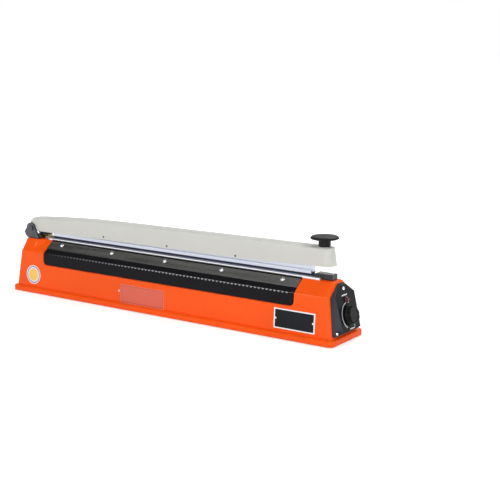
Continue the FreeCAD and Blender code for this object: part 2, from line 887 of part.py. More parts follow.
def sealing_layers():
    """Insulating tape, heating ribbon and low-friction cover on top of the platform."""
    tip = left + of("platform_left")
    end = right - of("lid_left") - of("lid_gap")
    tape_from = tip + of("platform_taper")
    tape_to = right - of("terminal_right") + of("terminal_length") / 2
    terminals_x = (tip + of("terminal_left"), right - of("terminal_right"))

    tape = new_body("insulation_tape")
    outline = new_sketch(tape, "XY_Plane", offset=platform_top)
    point = of("platform_tip_half") - of("tape_thickness")
    wide = of("tape_half")
    polygon(outline, [(tip, -point), (tape_from, -wide), (tape_to, -wide), (tape_to, wide),
                      (tape_from, wide), (tip, point)])
    for x in terminals_x:
        screw_hole(outline, x, 0.0, of("terminal_screw_shank"))
    pad(tape, outline, of("tape_thickness"), one_side=True)

    ribbon = new_body("heating_element")
    outline = new_sketch(ribbon, "XY_Plane", offset=tape_top)
    half = of("ribbon_half")
    rectangle(outline, tip + SLACK / 2, tape_to, -half, half)
    for x in terminals_x:
        screw_hole(outline, x, 0.0, of("terminal_screw_shank"))
    pad(ribbon, outline, of("ribbon_thickness"), one_side=True)

    cover = new_body("cover_sheet")
    inset = of("cover_inset")
    section = new_sketch(cover, "YZ_Plane", offset=(tip + inset + end) / 2)
    wide = of("cover_half")
    low = tape_top
    polygon(section, [(-wide, cover_top), (-wide, platform_top), (-of("tape_half"), platform_top),
                      (-of("tape_half"), low), (-half, low), (-half, ribbon_top), (half, ribbon_top),
                      (half, low), (of("tape_half"), low), (of("tape_half"), platform_top),
                      (wide, platform_top), (wide, cover_top)])
    pad(cover, section, end - tip - inset)


def terminals():
    tip = left + of("platform_left")
    high = ribbon_top + of("terminal_height")
    frames = []
    for label, x in (("left_terminal", tip + of("terminal_left")),
                     ("right_terminal", right - of("terminal_right"))):
        body = new_body(label)
        outline = new_sketch(body, "XY_Plane", offset=ribbon_top)
        reach = of("terminal_length") / 2
        rectangle(outline, x - reach, x + reach, -of("terminal_half"), of("terminal_half"))
        screw_hole(outline, x, 0.0, of("terminal_screw_shank"))
        pad(body, outline, of("terminal_height"), one_side=True)
        frames.append(frame_at(x, 0, high))
    reach = (of("platform_thickness") + of("terminal_height")).value
    screw_group("terminal_screws", "terminal_screw", frames, reach)


def terminal_cover():
    body = new_body("terminal_cover")
    start = right - of("lid_left")
    end = right - of("lid_right")
    high = platform_top + of("lid_height")
    step = right - of("platform_right") + of("lid_gap")
    profile = new_sketch(body, "XZ_Plane")
    polygon(profile, [(start, platform_top), (step, platform_top), (step, top), (end, top), (end, high),
                      (start + of("lid_ramp"), high)])
    pad(body, profile, of("lid_half") * 2)
    fillet(body, of("lid_wall") / 2, lambda edge: spans(edge, Z=high))
    room = new_sketch(body, "XZ_Plane")
    rectangle(room, start - SLACK, tongue_end + of("lid_gap"), top - SLACK, high - of("lid_wall"))
    pocket(body, room, (of("lid_half") - of("lid_wall")) * 2)
    hole = new_sketch(body, "XY_Plane", offset=high)
    screw_x = end - of("lid_screw_inset")
    screw_hole(hole, screw_x, 0.0, of("terminal_screw_shank"))
    pocket(body, hole, of("lid_height") * 4)
    reach = (high - top + of("wall") / 2).value
    screw_group("terminal_cover_screw", "terminal_screw", [frame_at(screw_x, 0, high)], reach)


def hinge_bracket():
    body = new_body("hinge_bracket")
    heel = pin_x - of("bracket_heel")
    foot = pin_x + of("bracket_foot")
    plate_top = top + of("bracket_plate")
    ring = of("ear_radius")
    ear_x = pin_x - of("ear_shift")
    lip = of("bracket_lip")
    profile = new_sketch(body, "XZ_Plane")
    polygon(profile, [(pin_x - of("bracket_base"), top), (foot, top), (foot, top + lip),
                      (ear_x + ring, pin_z), (ear_x - ring, pin_z), (heel, top + of("bracket_tail")),
                      (heel + lip, top + lip)])
    pad(body, profile, ear_outer * 2)
    crown = new_sketch(body, "XZ_Plane")
    many_sided(crown, FOOT_SIDES, ring, ear_x, pin_z)
    pad(body, crown, ear_outer * 2)
    between = new_sketch(body, "XZ_Plane")
    high = pin_z + ring + SLACK
    rectangle(between, heel - SLACK, foot + SLACK, plate_top, high)
    pocket(body, between, ear_inner * 2)
    bore = new_sketch(body, "XZ_Plane")
    circle(bore, pin_x, pin_z, of("pin_radius"))
    pocket(body, bore, ear_outer * 4)
    holes = new_sketch(body, "XY_Plane", offset=plate_top)
    hinge_x = foot - of("hinge_screw_inset")
    for across in (-1, 1):
        screw_hole(holes, hinge_x, of("hinge_screw_spread") * across, of("hinge_screw_shank"))
    circle(holes, plunger_x, 0.0, of("plunger_radius") + of("running_clearance"))
    pocket(body, holes, of("bracket_plate") * 3)
    frames = [frame_at(hinge_x, of("hinge_screw_spread") * across, plate_top) for across in (-1, 1)]
    screw_group("hinge_screws", "hinge_screw", frames)

    pin = new_body("hinge_pin")
    turned = new_sketch(pin, "XZ_Plane")
    radius = of("pin_radius")
    tip = ear_outer + of("pin_head_height")
    polygon(turned, [(0.0, -tip), (of("pin_head"), -tip), (of("pin_head"), -ear_outer), (radius, -ear_outer),
                     (radius, tip), (0.0, tip)])
    revolve(pin, turned)
    place(pin, x=pin_x, z=pin_z, axis=Vector(1, 0, 0), angle=-90)


def return_spring():
    """Torsion spring round the bush: one leg on the bracket, the other under the arm's roof."""
    radius = of("spring_radius").value
    wire = of("spring_wire").value / 2
    pitch = of("spring_pitch").value
    centre = Vector(pin_x.value, -of("spring_offset").value, pin_z.value)

    def coil_point(turn):
        angle = 2 * math.pi * turn
        return centre + Vector(-radius * math.sin(angle), pitch * turn, -radius * math.cos(angle))

    turns = SPRING_TURNS + 0.5
    rest_z = top.value + of("bracket_plate").value + wire
    start = coil_point(0.0)
    foot = Vector(start.x + of("spring_foot").value, start.y, rest_z)
    edges = [Part.makeLine(foot, start)]
    quarter = 0.25
    for step in range(int(turns / quarter)):
        places = [coil_point((step + share) * quarter) for share in (0.0, 0.5, 1.0)]
        edges.append(Part.Arc(*places).toShape())
    finish = coil_point(turns)
    edges.append(Part.makeLine(finish, finish + Vector(of("spring_leg").value, 0, 0)))
    path = Part.Wire(edges)
    ring = loop(ring_of_corners(WIRE_SIDES, wire, 0.0))
    ring.Placement = FreeCAD.Placement(foot, FreeCAD.Rotation(Vector(0, 0, 1), start - foot))
    tube = path.makePipeShell([ring], True, False)
    print(f"return spring: least gap to itself {least_gap(path, wire * 2):.2f} mm")
    feature("return_spring", tube)


def least_gap(path, thickness):
    """The least air between stretches of a wire that lie several thicknesses apart along it."""
    points = path.discretize(Number=SPRING_POINTS)
    skip = int(4 * thickness / (path.Length / SPRING_POINTS))
    pairs = ((here, there) for place, here in enumerate(points) for there in points[place + skip:])
    return min(here.distanceToPoint(there) for here, there in pairs) - thickness


def arm_shell():
    body = new_body("arm_shell")
    rim = [(arm_from, bar_low + of("rim_left")),
           (right - of("rim_knee_place"), bar_low + of("rim_knee")),
           (arm_to, bar_low + of("rim_right"))]
    nose_top = arm_to - of("nose_lean")
    crown = [(nose_top, seat_z),
             (right - of("seat_place"), seat_z),
             (pin_x + of("crown_back_place"), bar_low + of("crown_back")),
             (arm_from + of("heel_lean"), bar_low + of("crown_heel"))]
    half = of("arm_half")
    profile = new_sketch(body, "XZ_Plane")
    heel = (arm_from, pin_z + of("heel_rise"))
    polygon(profile, rim + crown + [heel], bow=5)
    pad(body, profile, half * 2)
    fillet(body, of("heel_round"), lambda edge: spans(edge, X=crown[3][0], Z=crown[3][1]))

    def end_corner(edge):
        box = edge.BoundBox
        return box.XMin > nose_top.value - TOLERANCE and box.YLength < TOLERANCE < box.ZLength

    fillet(body, of("arm_plan_round"), end_corner)
    brow = bar_low.value + of("crown_heel").value - of("heel_round").value * 2

    def top_edge(edge):
        box = edge.BoundBox
        return box.ZMin > brow and box.YLength < half.value and box.XLength > of("arm_wall").value

    chamfer(body, of("arm_bevel"), top_edge)

    channel = new_sketch(body, "XZ_Plane")
    roof = of("arm_roof")
    wall = of("arm_wall")
    inner = [(x, z - roof) for x, z in crown]
    nose = press_x + of("press_screw_head") + SLACK
    inner[0] = (nose, seat_z - roof)
    inner[3] = (crown[3][0] + wall, crown[3][1] - of("heel_round") / 2)
    inner.append((arm_from + wall, heel[1]))
    floor = bar_low - SLACK
    polygon(channel, [(arm_from + wall, floor), (nose, floor)] + inner)
    pocket(body, channel, (of("arm_half") - wall) * 2)
    bores = new_sketch(body, "XZ_Plane")
    circle(bores, pin_x, pin_z, of("bush_radius"))
    for x in bar_pin_places():
        screw_hole(bores, x, bar_low + of("bar_pin_rise"), of("bar_pin_radius"))
    pocket(body, bores, of("arm_half") * 4)
    hole = new_sketch(body, "XY_Plane", offset=seat_z)
    screw_hole(hole, press_x, 0.0, of("press_screw_shank"))
    pocket(body, hole, of("arm_roof") * 4)

    bush = new_body("pivot_bush")
    ring = new_sketch(bush, "XZ_Plane")
    circle(ring, pin_x, pin_z, of("bush_radius"))
    circle(ring, pin_x, pin_z, of("pin_radius") + of("running_clearance"))
    pad(bush, ring, of("arm_half") * 2)

    striker = new_body("switch_striker")
    block = new_sketch(striker, "XZ_Plane", offset=-(of("arm_half") - wall - of("striker_reach")) / 2)
    reach = of("striker_length") / 2
    rectangle(block, plunger_x - reach, plunger_x + reach, striker_z, striker_z + of("striker_height"))
    pad(striker, block, of("arm_half") - wall + of("striker_reach"))


def bar_pin_places():
    """X of the pins that carry the press bar in the arm."""
    first = bar_from + of("bar_pin_left")
    step = (bar_to - of("bar_pin_right") - first) / (BAR_PINS - 1)
    return [first + step * index for index in range(BAR_PINS)]


def press_bar():
    body = new_body("press_bar")
    section = new_sketch(body, "YZ_Plane", offset=bar_middle)
    wide = of("bar_half")
    deep = wide - of("bar_groove_depth")
    groove = bar_low + of("bar_groove_rise")
    groove_top = groove + of("bar_groove_height")
    key = bar_low + of("rubber_key")
    rubber = of("rubber_half")
    outer = [(rubber, key), (rubber, bar_low), (wide, bar_low), (wide, groove), (deep, groove),
             (deep, groove_top), (wide, groove_top), (wide, bar_low + of("bar_height"))]
    polygon(section, outer + [(-y, z) for y, z in reversed(outer)])
    pad(body, section, bar_to - bar_from)
    holes = new_sketch(body, "XZ_Plane")
    pin_height = bar_low + of("bar_pin_rise")
    for x in bar_pin_places():
        screw_hole(holes, x, pin_height, of("bar_pin_radius"))
    pocket(body, holes, of("bar_half") * 4)

    strip = new_body("rubber_strip")
    section = new_sketch(strip, "YZ_Plane", offset=bar_middle)
    low = bar_low - of("rubber_show")
    rectangle(section, -rubber, rubber, low, key)
    pad(strip, section, bar_to - bar_from + of("rubber_overhang") * 2)
    corner = of("rubber_show") / 4
    fillet(strip, corner, lambda edge: runs_along(edge, "x") and spans(edge, Z=low))

    half = of("arm_half").value
    head = of("bar_pin_head").value
    shank = prism(SCREW_SIDES, [(of("bar_pin_radius").value, -half), (of("bar_pin_radius").value, half)])
    tip = half + of("bar_pin_dome").value
    heads = [prism(SCREW_SIDES, [(head, half * end), (head / 2, tip * end)]) for end in (-1, 1)]
    pins = []
    for x in bar_pin_places():
        pin = shank.fuse(heads)
        pin.Placement = frame_at(x, 0, pin_height, Vector(1, 0, 0), 90)
        pins.append(pin)
    feature("press_bar_pins", Part.makeCompound(pins))


def press_knob():
    body = new_body("press_knob")
    stem = of("press_stem")
    disc = of("press_disc")
    neck = of("press_stem_height")
    high = neck + of("press_disc_height")
    lip = of("press_disc_lip")
    post = new_sketch(body, "XY_Plane")
    many_sided(post, PRESS_SIDES, stem)
    pad(body, post, neck + lip, one_side=True)
    cap = new_sketch(body, "XY_Plane", offset=neck)
    many_sided(cap, PRESS_SIDES, disc)
    pad(body, cap, high - neck, one_side=True)
    chamfer(body, high - neck - lip * 2, lambda edge: spans(edge, Z=high))
    chamfer(body, lip, lambda edge: spans(edge, Z=neck)
            and edge.Vertexes[0].Point.Length > number(stem + neck))
    bore = new_sketch(body, "XY_Plane")
    screw_hole(bore, 0.0, 0.0, of("press_screw_shank"))
    depth = of("press_screw_reach") - of("arm_roof") + of("screw_clearance")
    pocket(body, bore, depth, one_side=True, flip=True)
    place(body, x=press_x, z=seat_z)
    frame = frame_at(press_x, 0.0, seat_z - of("arm_roof"), Vector(1, 0, 0), 180)
    screw_group("press_knob_screw", "press_screw", [frame])


def control_panel():
    """Moulded panel: a flat rim, sloping flanks and a face that tilts up, hollow behind."""
    body = new_body("control_panel")
    waist = -of("panel_shoulder")
    rim_half = [(-of("panel_gap"), of("panel_foot_half")), (waist, of("panel_shoulder_half")),
                (-of("panel_apex"), of("panel_apex_half"))]
    face_half = [(-of("panel_face_foot"), of("panel_face_half")), (waist, of("panel_face_shoulder")),
                 (-of("panel_face_top"), of("panel_face_top_half"))]
    outline = [(x, -y) for x, y in rim_half] + list(reversed(rim_half))
    rim = new_sketch(body, "XY_Plane")
    polygon(rim, outline)
    pad(body, rim, of("panel_rim"), one_side=True)
    fillet(body, of("panel_rim") / 2, lambda edge: runs_along(edge, "z"))
    base = new_sketch(body, "XY_Plane", offset=of("panel_rim"))
    inset = of("panel_rim") / 4
    shrunk = [(x + inset * step, y - inset) for (x, y), step in zip(rim_half, (-1, 0, 1))]
    polygon(base, [(x, -y) for x, y in shrunk] + list(reversed(shrunk)))
    tilt = cos(of("panel_tilt"))
    face = new_sketch(body, "XY_Plane", shift=(0.0, 0.0, of("panel_rise")), axis=Vector(0, 1, 0),
                      angle=-of("panel_tilt"))
    raised = [(x / tilt, y) for x, y in face_half]
    polygon(face, [(x, -y) for x, y in raised] + list(reversed(raised)))
    loft = body.newObject("PartDesign::AdditiveLoft", "control_panel_loft")
    loft.Profile = base
    loft.Sections = [face]
    loft.Ruled = True
    doc.recompute()
    skin = of("panel_skin")
    room = new_sketch(body, "XZ_Plane")
    low = -of("panel_pocket_low")
    high = -of("panel_pocket_high")
    polygon(room, [(low, -SLACK), (low, face_out(-low) - skin), (high, face_out(-high) - skin),
                   (high, -SLACK)])
    pocket(body, room, of("panel_pocket_half") * 2)
    for up, radius in ((of("timer_up"), of("pot_bush")), (of("lamp_up"), of("lamp_radius"))):
        hole = new_sketch(body, "XY_Plane", shift=(-up, 0.0, face_out(up)), axis=Vector(0, 1, 0),
                          angle=-of("panel_tilt"))
        screw_hole(hole, 0.0, 0.0, radius)
        pocket(body, hole, skin * 4)
    for up, across, seat in panel_screw_places():
        sunk = new_sketch(body, "XY_Plane", offset=seat)
        screw_hole(sunk, -up, across, of("panel_screw_head") + of("screw_clearance"))
        pocket(body, sunk, of("panel_rise"), one_side=True, flip=True)
        through = new_sketch(body, "XY_Plane")
        screw_hole(through, -up, across, of("panel_screw_shank"))
        pocket(body, through, of("panel_rise") * 2)
    place(body, x=end_half, z=flange_top, axis=Vector(0, 1, 0), angle=Size(90.0, "90") - of("end_lean"))
    frames = []
    for up, across, seat in panel_screw_places():
        x, z = panel_point(up, seat)
        frames.append(frame_at(x, across, z, Vector(0, 1, 0), 90 - of("end_lean").value))
    screw_group("panel_screws", "panel_screw", frames)


def on_face(thing, up, out=0.0):
    """Stand a piece on the panel's tilted face, its own Z pointing out of the face."""
    tilt = of("panel_tilt")
    x, z = panel_point(up + out * sin(tilt) * -1, face_out(up) + out * cos(tilt))
    place(thing, x=x, z=z, axis=Vector(0, 1, 0), angle=Size(90.0, "90") - of("end_lean") - tilt)


def lamp_and_timer():
    lamp = new_body("indicator_lamp")
    radius = of("lamp_radius")
    depth = of("panel_skin") + SLACK
    dome = of("lamp_dome")
    barrel = new_sketch(lamp, "XY_Plane", offset=-depth)
    many_sided(barrel, LAMP_SIDES, radius)
    pad(lamp, barrel, depth + dome, one_side=True)
    chamfer(lamp, radius / 2, lambda edge: spans(edge, Z=dome))
    collar = new_sketch(lamp, "XY_Plane")
    many_sided(collar, LAMP_SIDES, of("lamp_collar"))
    pad(lamp, collar, of("lamp_collar_height"), one_side=True)
    on_face(lamp, of("lamp_up"))

    pot = new_body("timer_potentiometer")
    skin = of("panel_skin")
    bush = of("pot_bush")
    rise = of("pot_bush_rise")
    back = -skin - of("pot_height")
    case = new_sketch(pot, "XY_Plane", offset=back)
    many_sided(case, LAMP_SIDES, of("pot_radius"))
    pad(pot, case, of("pot_height"), one_side=True)
    collar = new_sketch(pot, "XY_Plane", offset=-skin)
    circle(collar, 0.0, 0.0, bush)
    pad(pot, collar, skin + rise, one_side=True)
    bore = new_sketch(pot, "XY_Plane", offset=rise)
    circle(bore, 0.0, 0.0, of("shaft_radius") + of("running_clearance"))
    pocket(pot, bore, rise - back, one_side=True)
    on_face(pot, of("timer_up"))

    shaft = new_body("timer_shaft")
    profile = new_sketch(shaft, "XZ_Plane")
    tip = rise + of("timer_gap") + of("shaft_grip")
    rectangle(profile, 0.0, of("shaft_radius"), back + SLACK, tip)
    revolve(shaft, profile)
    on_face(shaft, of("timer_up"))

    knob = new_body("timer_knob")
    low = of("timer_gap")
    high = of("timer_height")
    skirt = new_sketch(knob, "XY_Plane", offset=low)
    many_sided(skirt, SKIRT_SIDES, of("timer_radius"))
    pad(knob, skirt, of("timer_skirt"), one_side=True)
    grip = new_sketch(knob, "XY_Plane", offset=low)
    fluted(grip, of("timer_waist"), of("timer_flute"))
    pad(knob, grip, high - low, one_side=True)
    room = new_sketch(knob, "XY_Plane", offset=low)
    circle(room, 0.0, 0.0, bush + low)
    pocket(knob, room, rise, one_side=True, flip=True)
    socket = new_sketch(knob, "XY_Plane", offset=rise)
    circle(socket, 0.0, 0.0, of("shaft_radius"))
    pocket(knob, socket, tip - rise, one_side=True, flip=True)
    on_face(knob, of("timer_up"))


def transformer():
    floor = flange_low + of("base_plate")
    middle = -of("core_place")
    reach = of("core_length") / 2
    leg = of("core_leg")
    core = new_body("transformer_core")
    stack = new_sketch(core, "XZ_Plane")
    rectangle(stack, middle - reach, middle + reach, floor, floor + of("core_height"))
    pad(core, stack, of("core_depth"))
    windows = new_sketch(core, "XZ_Plane")
    low = floor + leg
    high = floor + of("core_height") - leg
    rectangle(windows, middle - reach + leg, middle - leg, low, high)
    rectangle(windows, middle + leg, middle + reach - leg, low, high)
    pocket(core, windows, of("core_depth") * 2)
    coil = new_body("transformer_winding")
    bobbin = new_sketch(coil, "XZ_Plane")
    rectangle(bobbin, middle - reach + leg, middle + reach - leg, low, high)
    pad(coil, bobbin, of("core_depth") + of("coil_bulge") * 2)
    fillet(coil, of("coil_bulge") / 2, lambda edge: runs_along(edge, "z"))
    heart = new_sketch(coil, "XY_Plane", offset=(low + high) / 2)
    rectangle(heart, middle - leg, middle + leg, -of("core_depth") / 2, of("core_depth") / 2)
    pocket(coil, heart, high - low)


def timer_electronics():
    floor = flange_low + of("base_plate")
    reach = of("board_length") / 2
    half = of("board_depth") / 2
    low = floor + of("spacer_height")
    board_x = right - of("board_inset")
    board = new_body("timer_board")
    outline = new_sketch(board, "XY_Plane", offset=low)
    rectangle(outline, board_x - reach, board_x + reach, -half, half)
    pad(board, outline, of("board_thickness"), one_side=True)
    relay = new_body("timer_relay")
    outline = new_sketch(relay, "XY_Plane", offset=low + of("board_thickness"))
    relay_reach = of("relay_length") / 2
    relay_half = of("relay_depth") / 2
    rectangle(outline, board_x - relay_reach, board_x + relay_reach, -relay_half, relay_half)
    pad(relay, outline, of("relay_height"), one_side=True)
    radius = of("spacer_radius").value
    inset = radius + of("board_thickness").value
    spacers = []
    for x, y in CORNERS:
        across = board_x.value + x * (reach.value - inset)
        spot = Vector(across, y * (half.value - inset), floor.value)
        spacer = prism(SCREW_SIDES, [(radius, 0.0), (radius, of("spacer_height").value)])
        spacer.Placement = FreeCAD.Placement(spot, FreeCAD.Rotation())
        spacers.append(spacer)
    feature("board_spacers", Part.makeCompound(spacers))


def micro_switch():
    plunger_low = cavity_top - of("plunger_travel") - of("plunger_collar_height") - of("closed_gap") * 4
    switch = new_body("micro_switch")
    case = new_sketch(switch, "XZ_Plane")
    high = plunger_low - SLACK
    rectangle(case, -cavity_half, -cavity_half + of("switch_length"), high - of("switch_height"), high)
    pad(switch, case, of("switch_half") * 2)
    button = new_sketch(switch, "XY_Plane", offset=high)
    circle(button, plunger_x, 0.0, of("plunger_radius") / 2)
    pad(switch, button, SLACK, one_side=True)

    plunger = new_body("switch_plunger")
    rod = new_sketch(plunger, "XY_Plane", offset=plunger_low)
    circle(rod, 0.0, 0.0, of("plunger_radius"))
    pad(plunger, rod, striker_z - of("closed_gap") - plunger_low, one_side=True)
    collar = new_sketch(plunger, "XY_Plane", offset=plunger_low)
    many_sided(collar, LAMP_SIDES, of("plunger_collar"))
    pad(plunger, collar, of("plunger_collar_height"), one_side=True)
    place(plunger, x=plunger_x)


def underside():
    plate = new_body("bottom_plate")
    outline = new_sketch(plate, "XY_Plane", offset=flange_low)
    lap = of("base_plate_lap")
    rectangle(outline, -cavity_half - lap, cavity_half + lap, -cavity_side - lap, cavity_side + lap)
    for x, y in base_plate_screw_places():
        screw_hole(outline, x, y, of("base_screw_shank"))
    pad(plate, outline, of("base_plate"), one_side=True)
    frames = [frame_at(x, y, flange_low, Vector(1, 0, 0), 180) for x, y in base_plate_screw_places()]
    screw_group("bottom_plate_screws", "base_screw", frames)
    feet = []
    radius = of("foot_radius").value
    for x, y in CORNERS:
        spot = Vector(x * (right - of("foot_inset_end")).value, y * (side - of("foot_inset_side")).value, 0)
        foot = prism(FOOT_SIDES, [(radius, 0.0), (radius, flange_low.value)])
        foot.Placement = FreeCAD.Placement(spot, FreeCAD.Rotation())
        feet.append(foot)
    feature("rubber_feet", Part.makeCompound(feet))


def cable_gland():
    """Bushing in the back wall where the supply cord enters."""
    z = of("gland_rise")
    wall_y = -front_wall(z).value
    slant = math.degrees(math.atan(wall_draft.value))
    flange = of("gland_flange").value
    neck = of("gland_neck").value
    bore = of("gland_bore").value
    out = of("gland_flange_height").value
    back = of("wall").value
    lip = of("gland_lip").value
    barrel = prism(FOOT_SIDES, [(neck, -back), (neck, lip)])
    collar = prism(FOOT_SIDES, [(flange, 0.0), (flange, lip), (flange - lip, out)])
    hollow = Part.makeCylinder(bore, back + out, Vector(0, 0, -back))
    shape = barrel.fuse(collar).cut(hollow)
    turn = FreeCAD.Rotation(Vector(1, 0, 0), -90 + slant)
    spot = Vector((right - of("gland_place")).value, wall_y, z.value)
    feature("cable_gland", shape, FreeCAD.Placement(spot, turn))


def write_parts():
    """Check every object, then write one file for each sub-part."""
    doc.recompute()
    for thing in doc.Objects:
        if "Invalid" in thing.State or "Error" in thing.State:
            raise ValueError(f"{thing.Label} failed: {thing.State}")
    for label, thing in parts.items():
        if thing.Shape.isNull() or not thing.Shape.isValid() or not thing.Shape.Solids:
            raise ValueError(f"{label} has no sound solid")
        if not re.fullmatch(r"[a-z_]+", label):
            raise ValueError(f"{label} is not a plain name")
    os.makedirs("parts", exist_ok=True)
    for label, thing in parts.items():
        thing.Shape.exportStep(f"parts/{label}.step")


base_housing()
front_plate()
clamp_strip()
sealing_platform()
sealing_layers()
terminals()
terminal_cover()
hinge_bracket()
return_spring()
arm_shell()
press_bar()
press_knob()
control_panel()
lamp_and_timer()
transformer()
timer_electronics()
micro_switch()
underside()
cable_gland()
write_parts()
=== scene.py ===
import math
import random

import bmesh
import bpy
from mathutils import Matrix, Vector


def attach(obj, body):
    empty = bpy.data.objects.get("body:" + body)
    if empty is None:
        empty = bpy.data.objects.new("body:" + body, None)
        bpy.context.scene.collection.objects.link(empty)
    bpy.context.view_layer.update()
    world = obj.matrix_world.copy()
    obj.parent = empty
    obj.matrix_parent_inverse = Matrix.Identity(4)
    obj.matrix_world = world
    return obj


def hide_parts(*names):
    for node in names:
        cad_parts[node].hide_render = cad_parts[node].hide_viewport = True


# Look of the impulse heat sealer. Places and sizes are millimetres, and MM turns them into metres.
# Radii and depths in materials, the floor, the lights and the camera are metres as they stand.

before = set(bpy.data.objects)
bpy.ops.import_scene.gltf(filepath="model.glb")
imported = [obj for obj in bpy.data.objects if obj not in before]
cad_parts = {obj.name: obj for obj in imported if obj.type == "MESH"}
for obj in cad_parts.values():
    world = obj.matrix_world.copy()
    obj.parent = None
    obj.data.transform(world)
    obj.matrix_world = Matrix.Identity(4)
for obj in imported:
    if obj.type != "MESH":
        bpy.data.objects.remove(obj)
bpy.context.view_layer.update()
random.seed(7)

MM = 0.001

# Housing: a flange, leaning walls up to the shoulder, slopes up to the ridge
SLOPE = math.radians(38.6)
RIDGE_Y = 12.5
TOP_Z = 90.5
SHOULDER_Z = 71.5
SHOULDER_Y = RIDGE_Y + (TOP_Z - SHOULDER_Z) / math.tan(SLOPE)
FLANGE_TOP = 10.5
WALL_Y = 40.2
DRAFT = math.atan((WALL_Y - SHOULDER_Y) / (SHOULDER_Z - FLANGE_TOP))

# End panel: the end wall's lean, the face's further tilt, and places up along the wall
END_X = 318.5
LEAN = math.radians(7.9)
TILT = math.radians(6.4)
FACE_TILT = LEAN + TILT
FACE_RISE = 14.5
FACE_MARGIN = 0.15
TIMER_UP = 29.3
LAMP_UP = 52.9

# Arm: the press knob's seat and the hinge pin
PRESS_X = 282.0
SEAT_Z = 139.35
PIN_X = -304.0
PIN_Z = 108.0

# Boxes of painted light and shade, by their lowest and highest corners: a painted highlight on the
# floors of the notches along the front plate's bend, with the stretch of X over which it brightens,
# and painted shade in dark lines on the ridge and on the platform's foot, running 1 mm past the
# strip's ends
NOTCH_Y = 34.7
BEND_Z = 71.1
NOTCH_HIGHLIGHT_BOX = ((-300.0, -(NOTCH_Y + 0.25), BEND_Z - 1.9), (300.0, 0.0, BEND_Z + 0.4))
NOTCH_HIGHLIGHT_FADE = (-265.0, -20.0)
DARK_FROM = -258.5
DARK_TO = 252.0
RIDGE_SHADE = ((DARK_FROM, -16.5, 86.5), (DARK_TO, -8.0, 90.7))
PLATFORM_FOOT_SHADE = ((DARK_FROM, -14.0, TOP_Z - 0.5), (DARK_TO, -12.3, TOP_Z + 1.3))

# Directions of the walls
FRONT_UP = (0.0, math.sin(DRAFT), math.cos(DRAFT))
FRONT_OUT = (0.0, -math.cos(DRAFT), math.sin(DRAFT))
SLOPE_OUT = (0.0, -math.sin(SLOPE), math.cos(SLOPE))
PANEL_OUT = (math.cos(LEAN), 0.0, math.sin(LEAN))
FACE_OUT = (math.cos(FACE_TILT), 0.0, math.sin(FACE_TILT))
FACE_UP = (-math.sin(FACE_TILT), 0.0, math.cos(FACE_TILT))
UP = (0.0, 0.0, 1.0)
DOWN = (0.0, 0.0, -1.0)

# Textures: repeats per metre, and how they are drawn out or packed along the axes
PAINT_CLOUD = 9.0
PAINT_MOTTLE = 45.0
PAINT_PEEL = 900.0
METAL_CLOUD = 14.0
METAL_GRAIN = 260.0
PLASTIC_CLOUD = 30.0
PLASTIC_MOTTLE = 80.0
PLASTIC_GRAIN = 1400.0
CLOTH_GRAIN = 2600.0
LENS_GRAIN = 500.0
PATCH_GRAIN = 400.0
FLOOR_CLOUD = 3.0
EVEN = (1.0, 1.0, 1.0)
ALONG_X = (0.03, 1.0, 1.0)
ALONG_Y = (1.0, 0.05, 1.0)
ALONG_Z = (1.0, 1.0, 0.05)
LAYERS_Y = (1.0, 40.0, 1.0)

# Noise values that become the two ends of a range, levels of detail, depths of relief, and how far
# roughness strays below and above its value
NOISE_LOW = 0.3
NOISE_HIGH = 0.7
DETAIL = 4.0
FINE_DETAIL = 6.0
PEEL_DEPTH = 0.0002
GRAIN_DEPTH = 0.0001
BRUSH_DEPTH = 0.00005
PEEL_STRENGTH = 0.05
PAINT_WEAR = (0.05, 0.06)
METAL_WEAR = (0.08, 0.12)
PLASTIC_WEAR = (0.06, 0.08)
COAT_ROUGHNESS = 0.07
BEVEL_SAMPLES = 6

# Meshes: steps of curves, the share of a side that a rounded corner may take, and the angles from
# which edges stay sharp
CORNER_STEPS = 8
ARC_STEPS = 48
EASE_STEPS = 4
EASE_SHARE = 0.45
WIRE_SIDES = 12
TURNED_CREASE = math.radians(40.0)
CREASE = math.radians(35.0)

# Small distances: two in millimetres, then two in metres
ON_AXIS = 1e-6
AT_TOP = 1e-4
WELD = 1e-6
CUT_SNAP = 1e-7


# Materials


def shader(name, color, rough, metallic=0.0, gloss=0.5):
    """A material with its principled shader and object coordinates."""
    mat = bpy.data.materials.new(name)
    mat.use_nodes = True
    tree = mat.node_tree
    bsdf = tree.nodes["Principled BSDF"]
    bsdf.inputs["Base Color"].default_value = (*color, 1.0)
    bsdf.inputs["Roughness"].default_value = rough
    bsdf.inputs["Metallic"].default_value = metallic
    bsdf.inputs["Specular IOR Level"].default_value = gloss
    coords = tree.nodes.new("ShaderNodeTexCoord")
    return mat, tree, bsdf, coords


def noise(tree, coords, scale, stretch=EVEN, detail=DETAIL):
    """Noise in object space, stretched along the given axes."""
    mapping = tree.nodes.new("ShaderNodeMapping")
    mapping.inputs["Scale"].default_value = stretch
    tree.links.new(coords.outputs["Object"], mapping.inputs["Vector"])
    texture = tree.nodes.new("ShaderNodeTexNoise")
    texture.inputs["Scale"].default_value = scale
    texture.inputs["Detail"].default_value = detail
    tree.links.new(mapping.outputs["Vector"], texture.inputs["Vector"])
    return texture.outputs["Fac"]


def ramp(tree, source, stops):
    """A colour ramp on a value."""
    node = tree.nodes.new("ShaderNodeValToRGB")
    elements = node.color_ramp.elements
    while len(elements) < len(stops):
        elements.new(0.5)
    for element, (place, color) in zip(elements, stops):
        element.position = place
        element.color = (*color, 1.0)
    tree.links.new(source, node.inputs["Fac"])
    return node.outputs["Color"]


def mottled(tree, source, dark, light):
    """Noise turned into shades between two colours."""
    return ramp(tree, source, [(NOISE_LOW, dark), (NOISE_HIGH, light)])


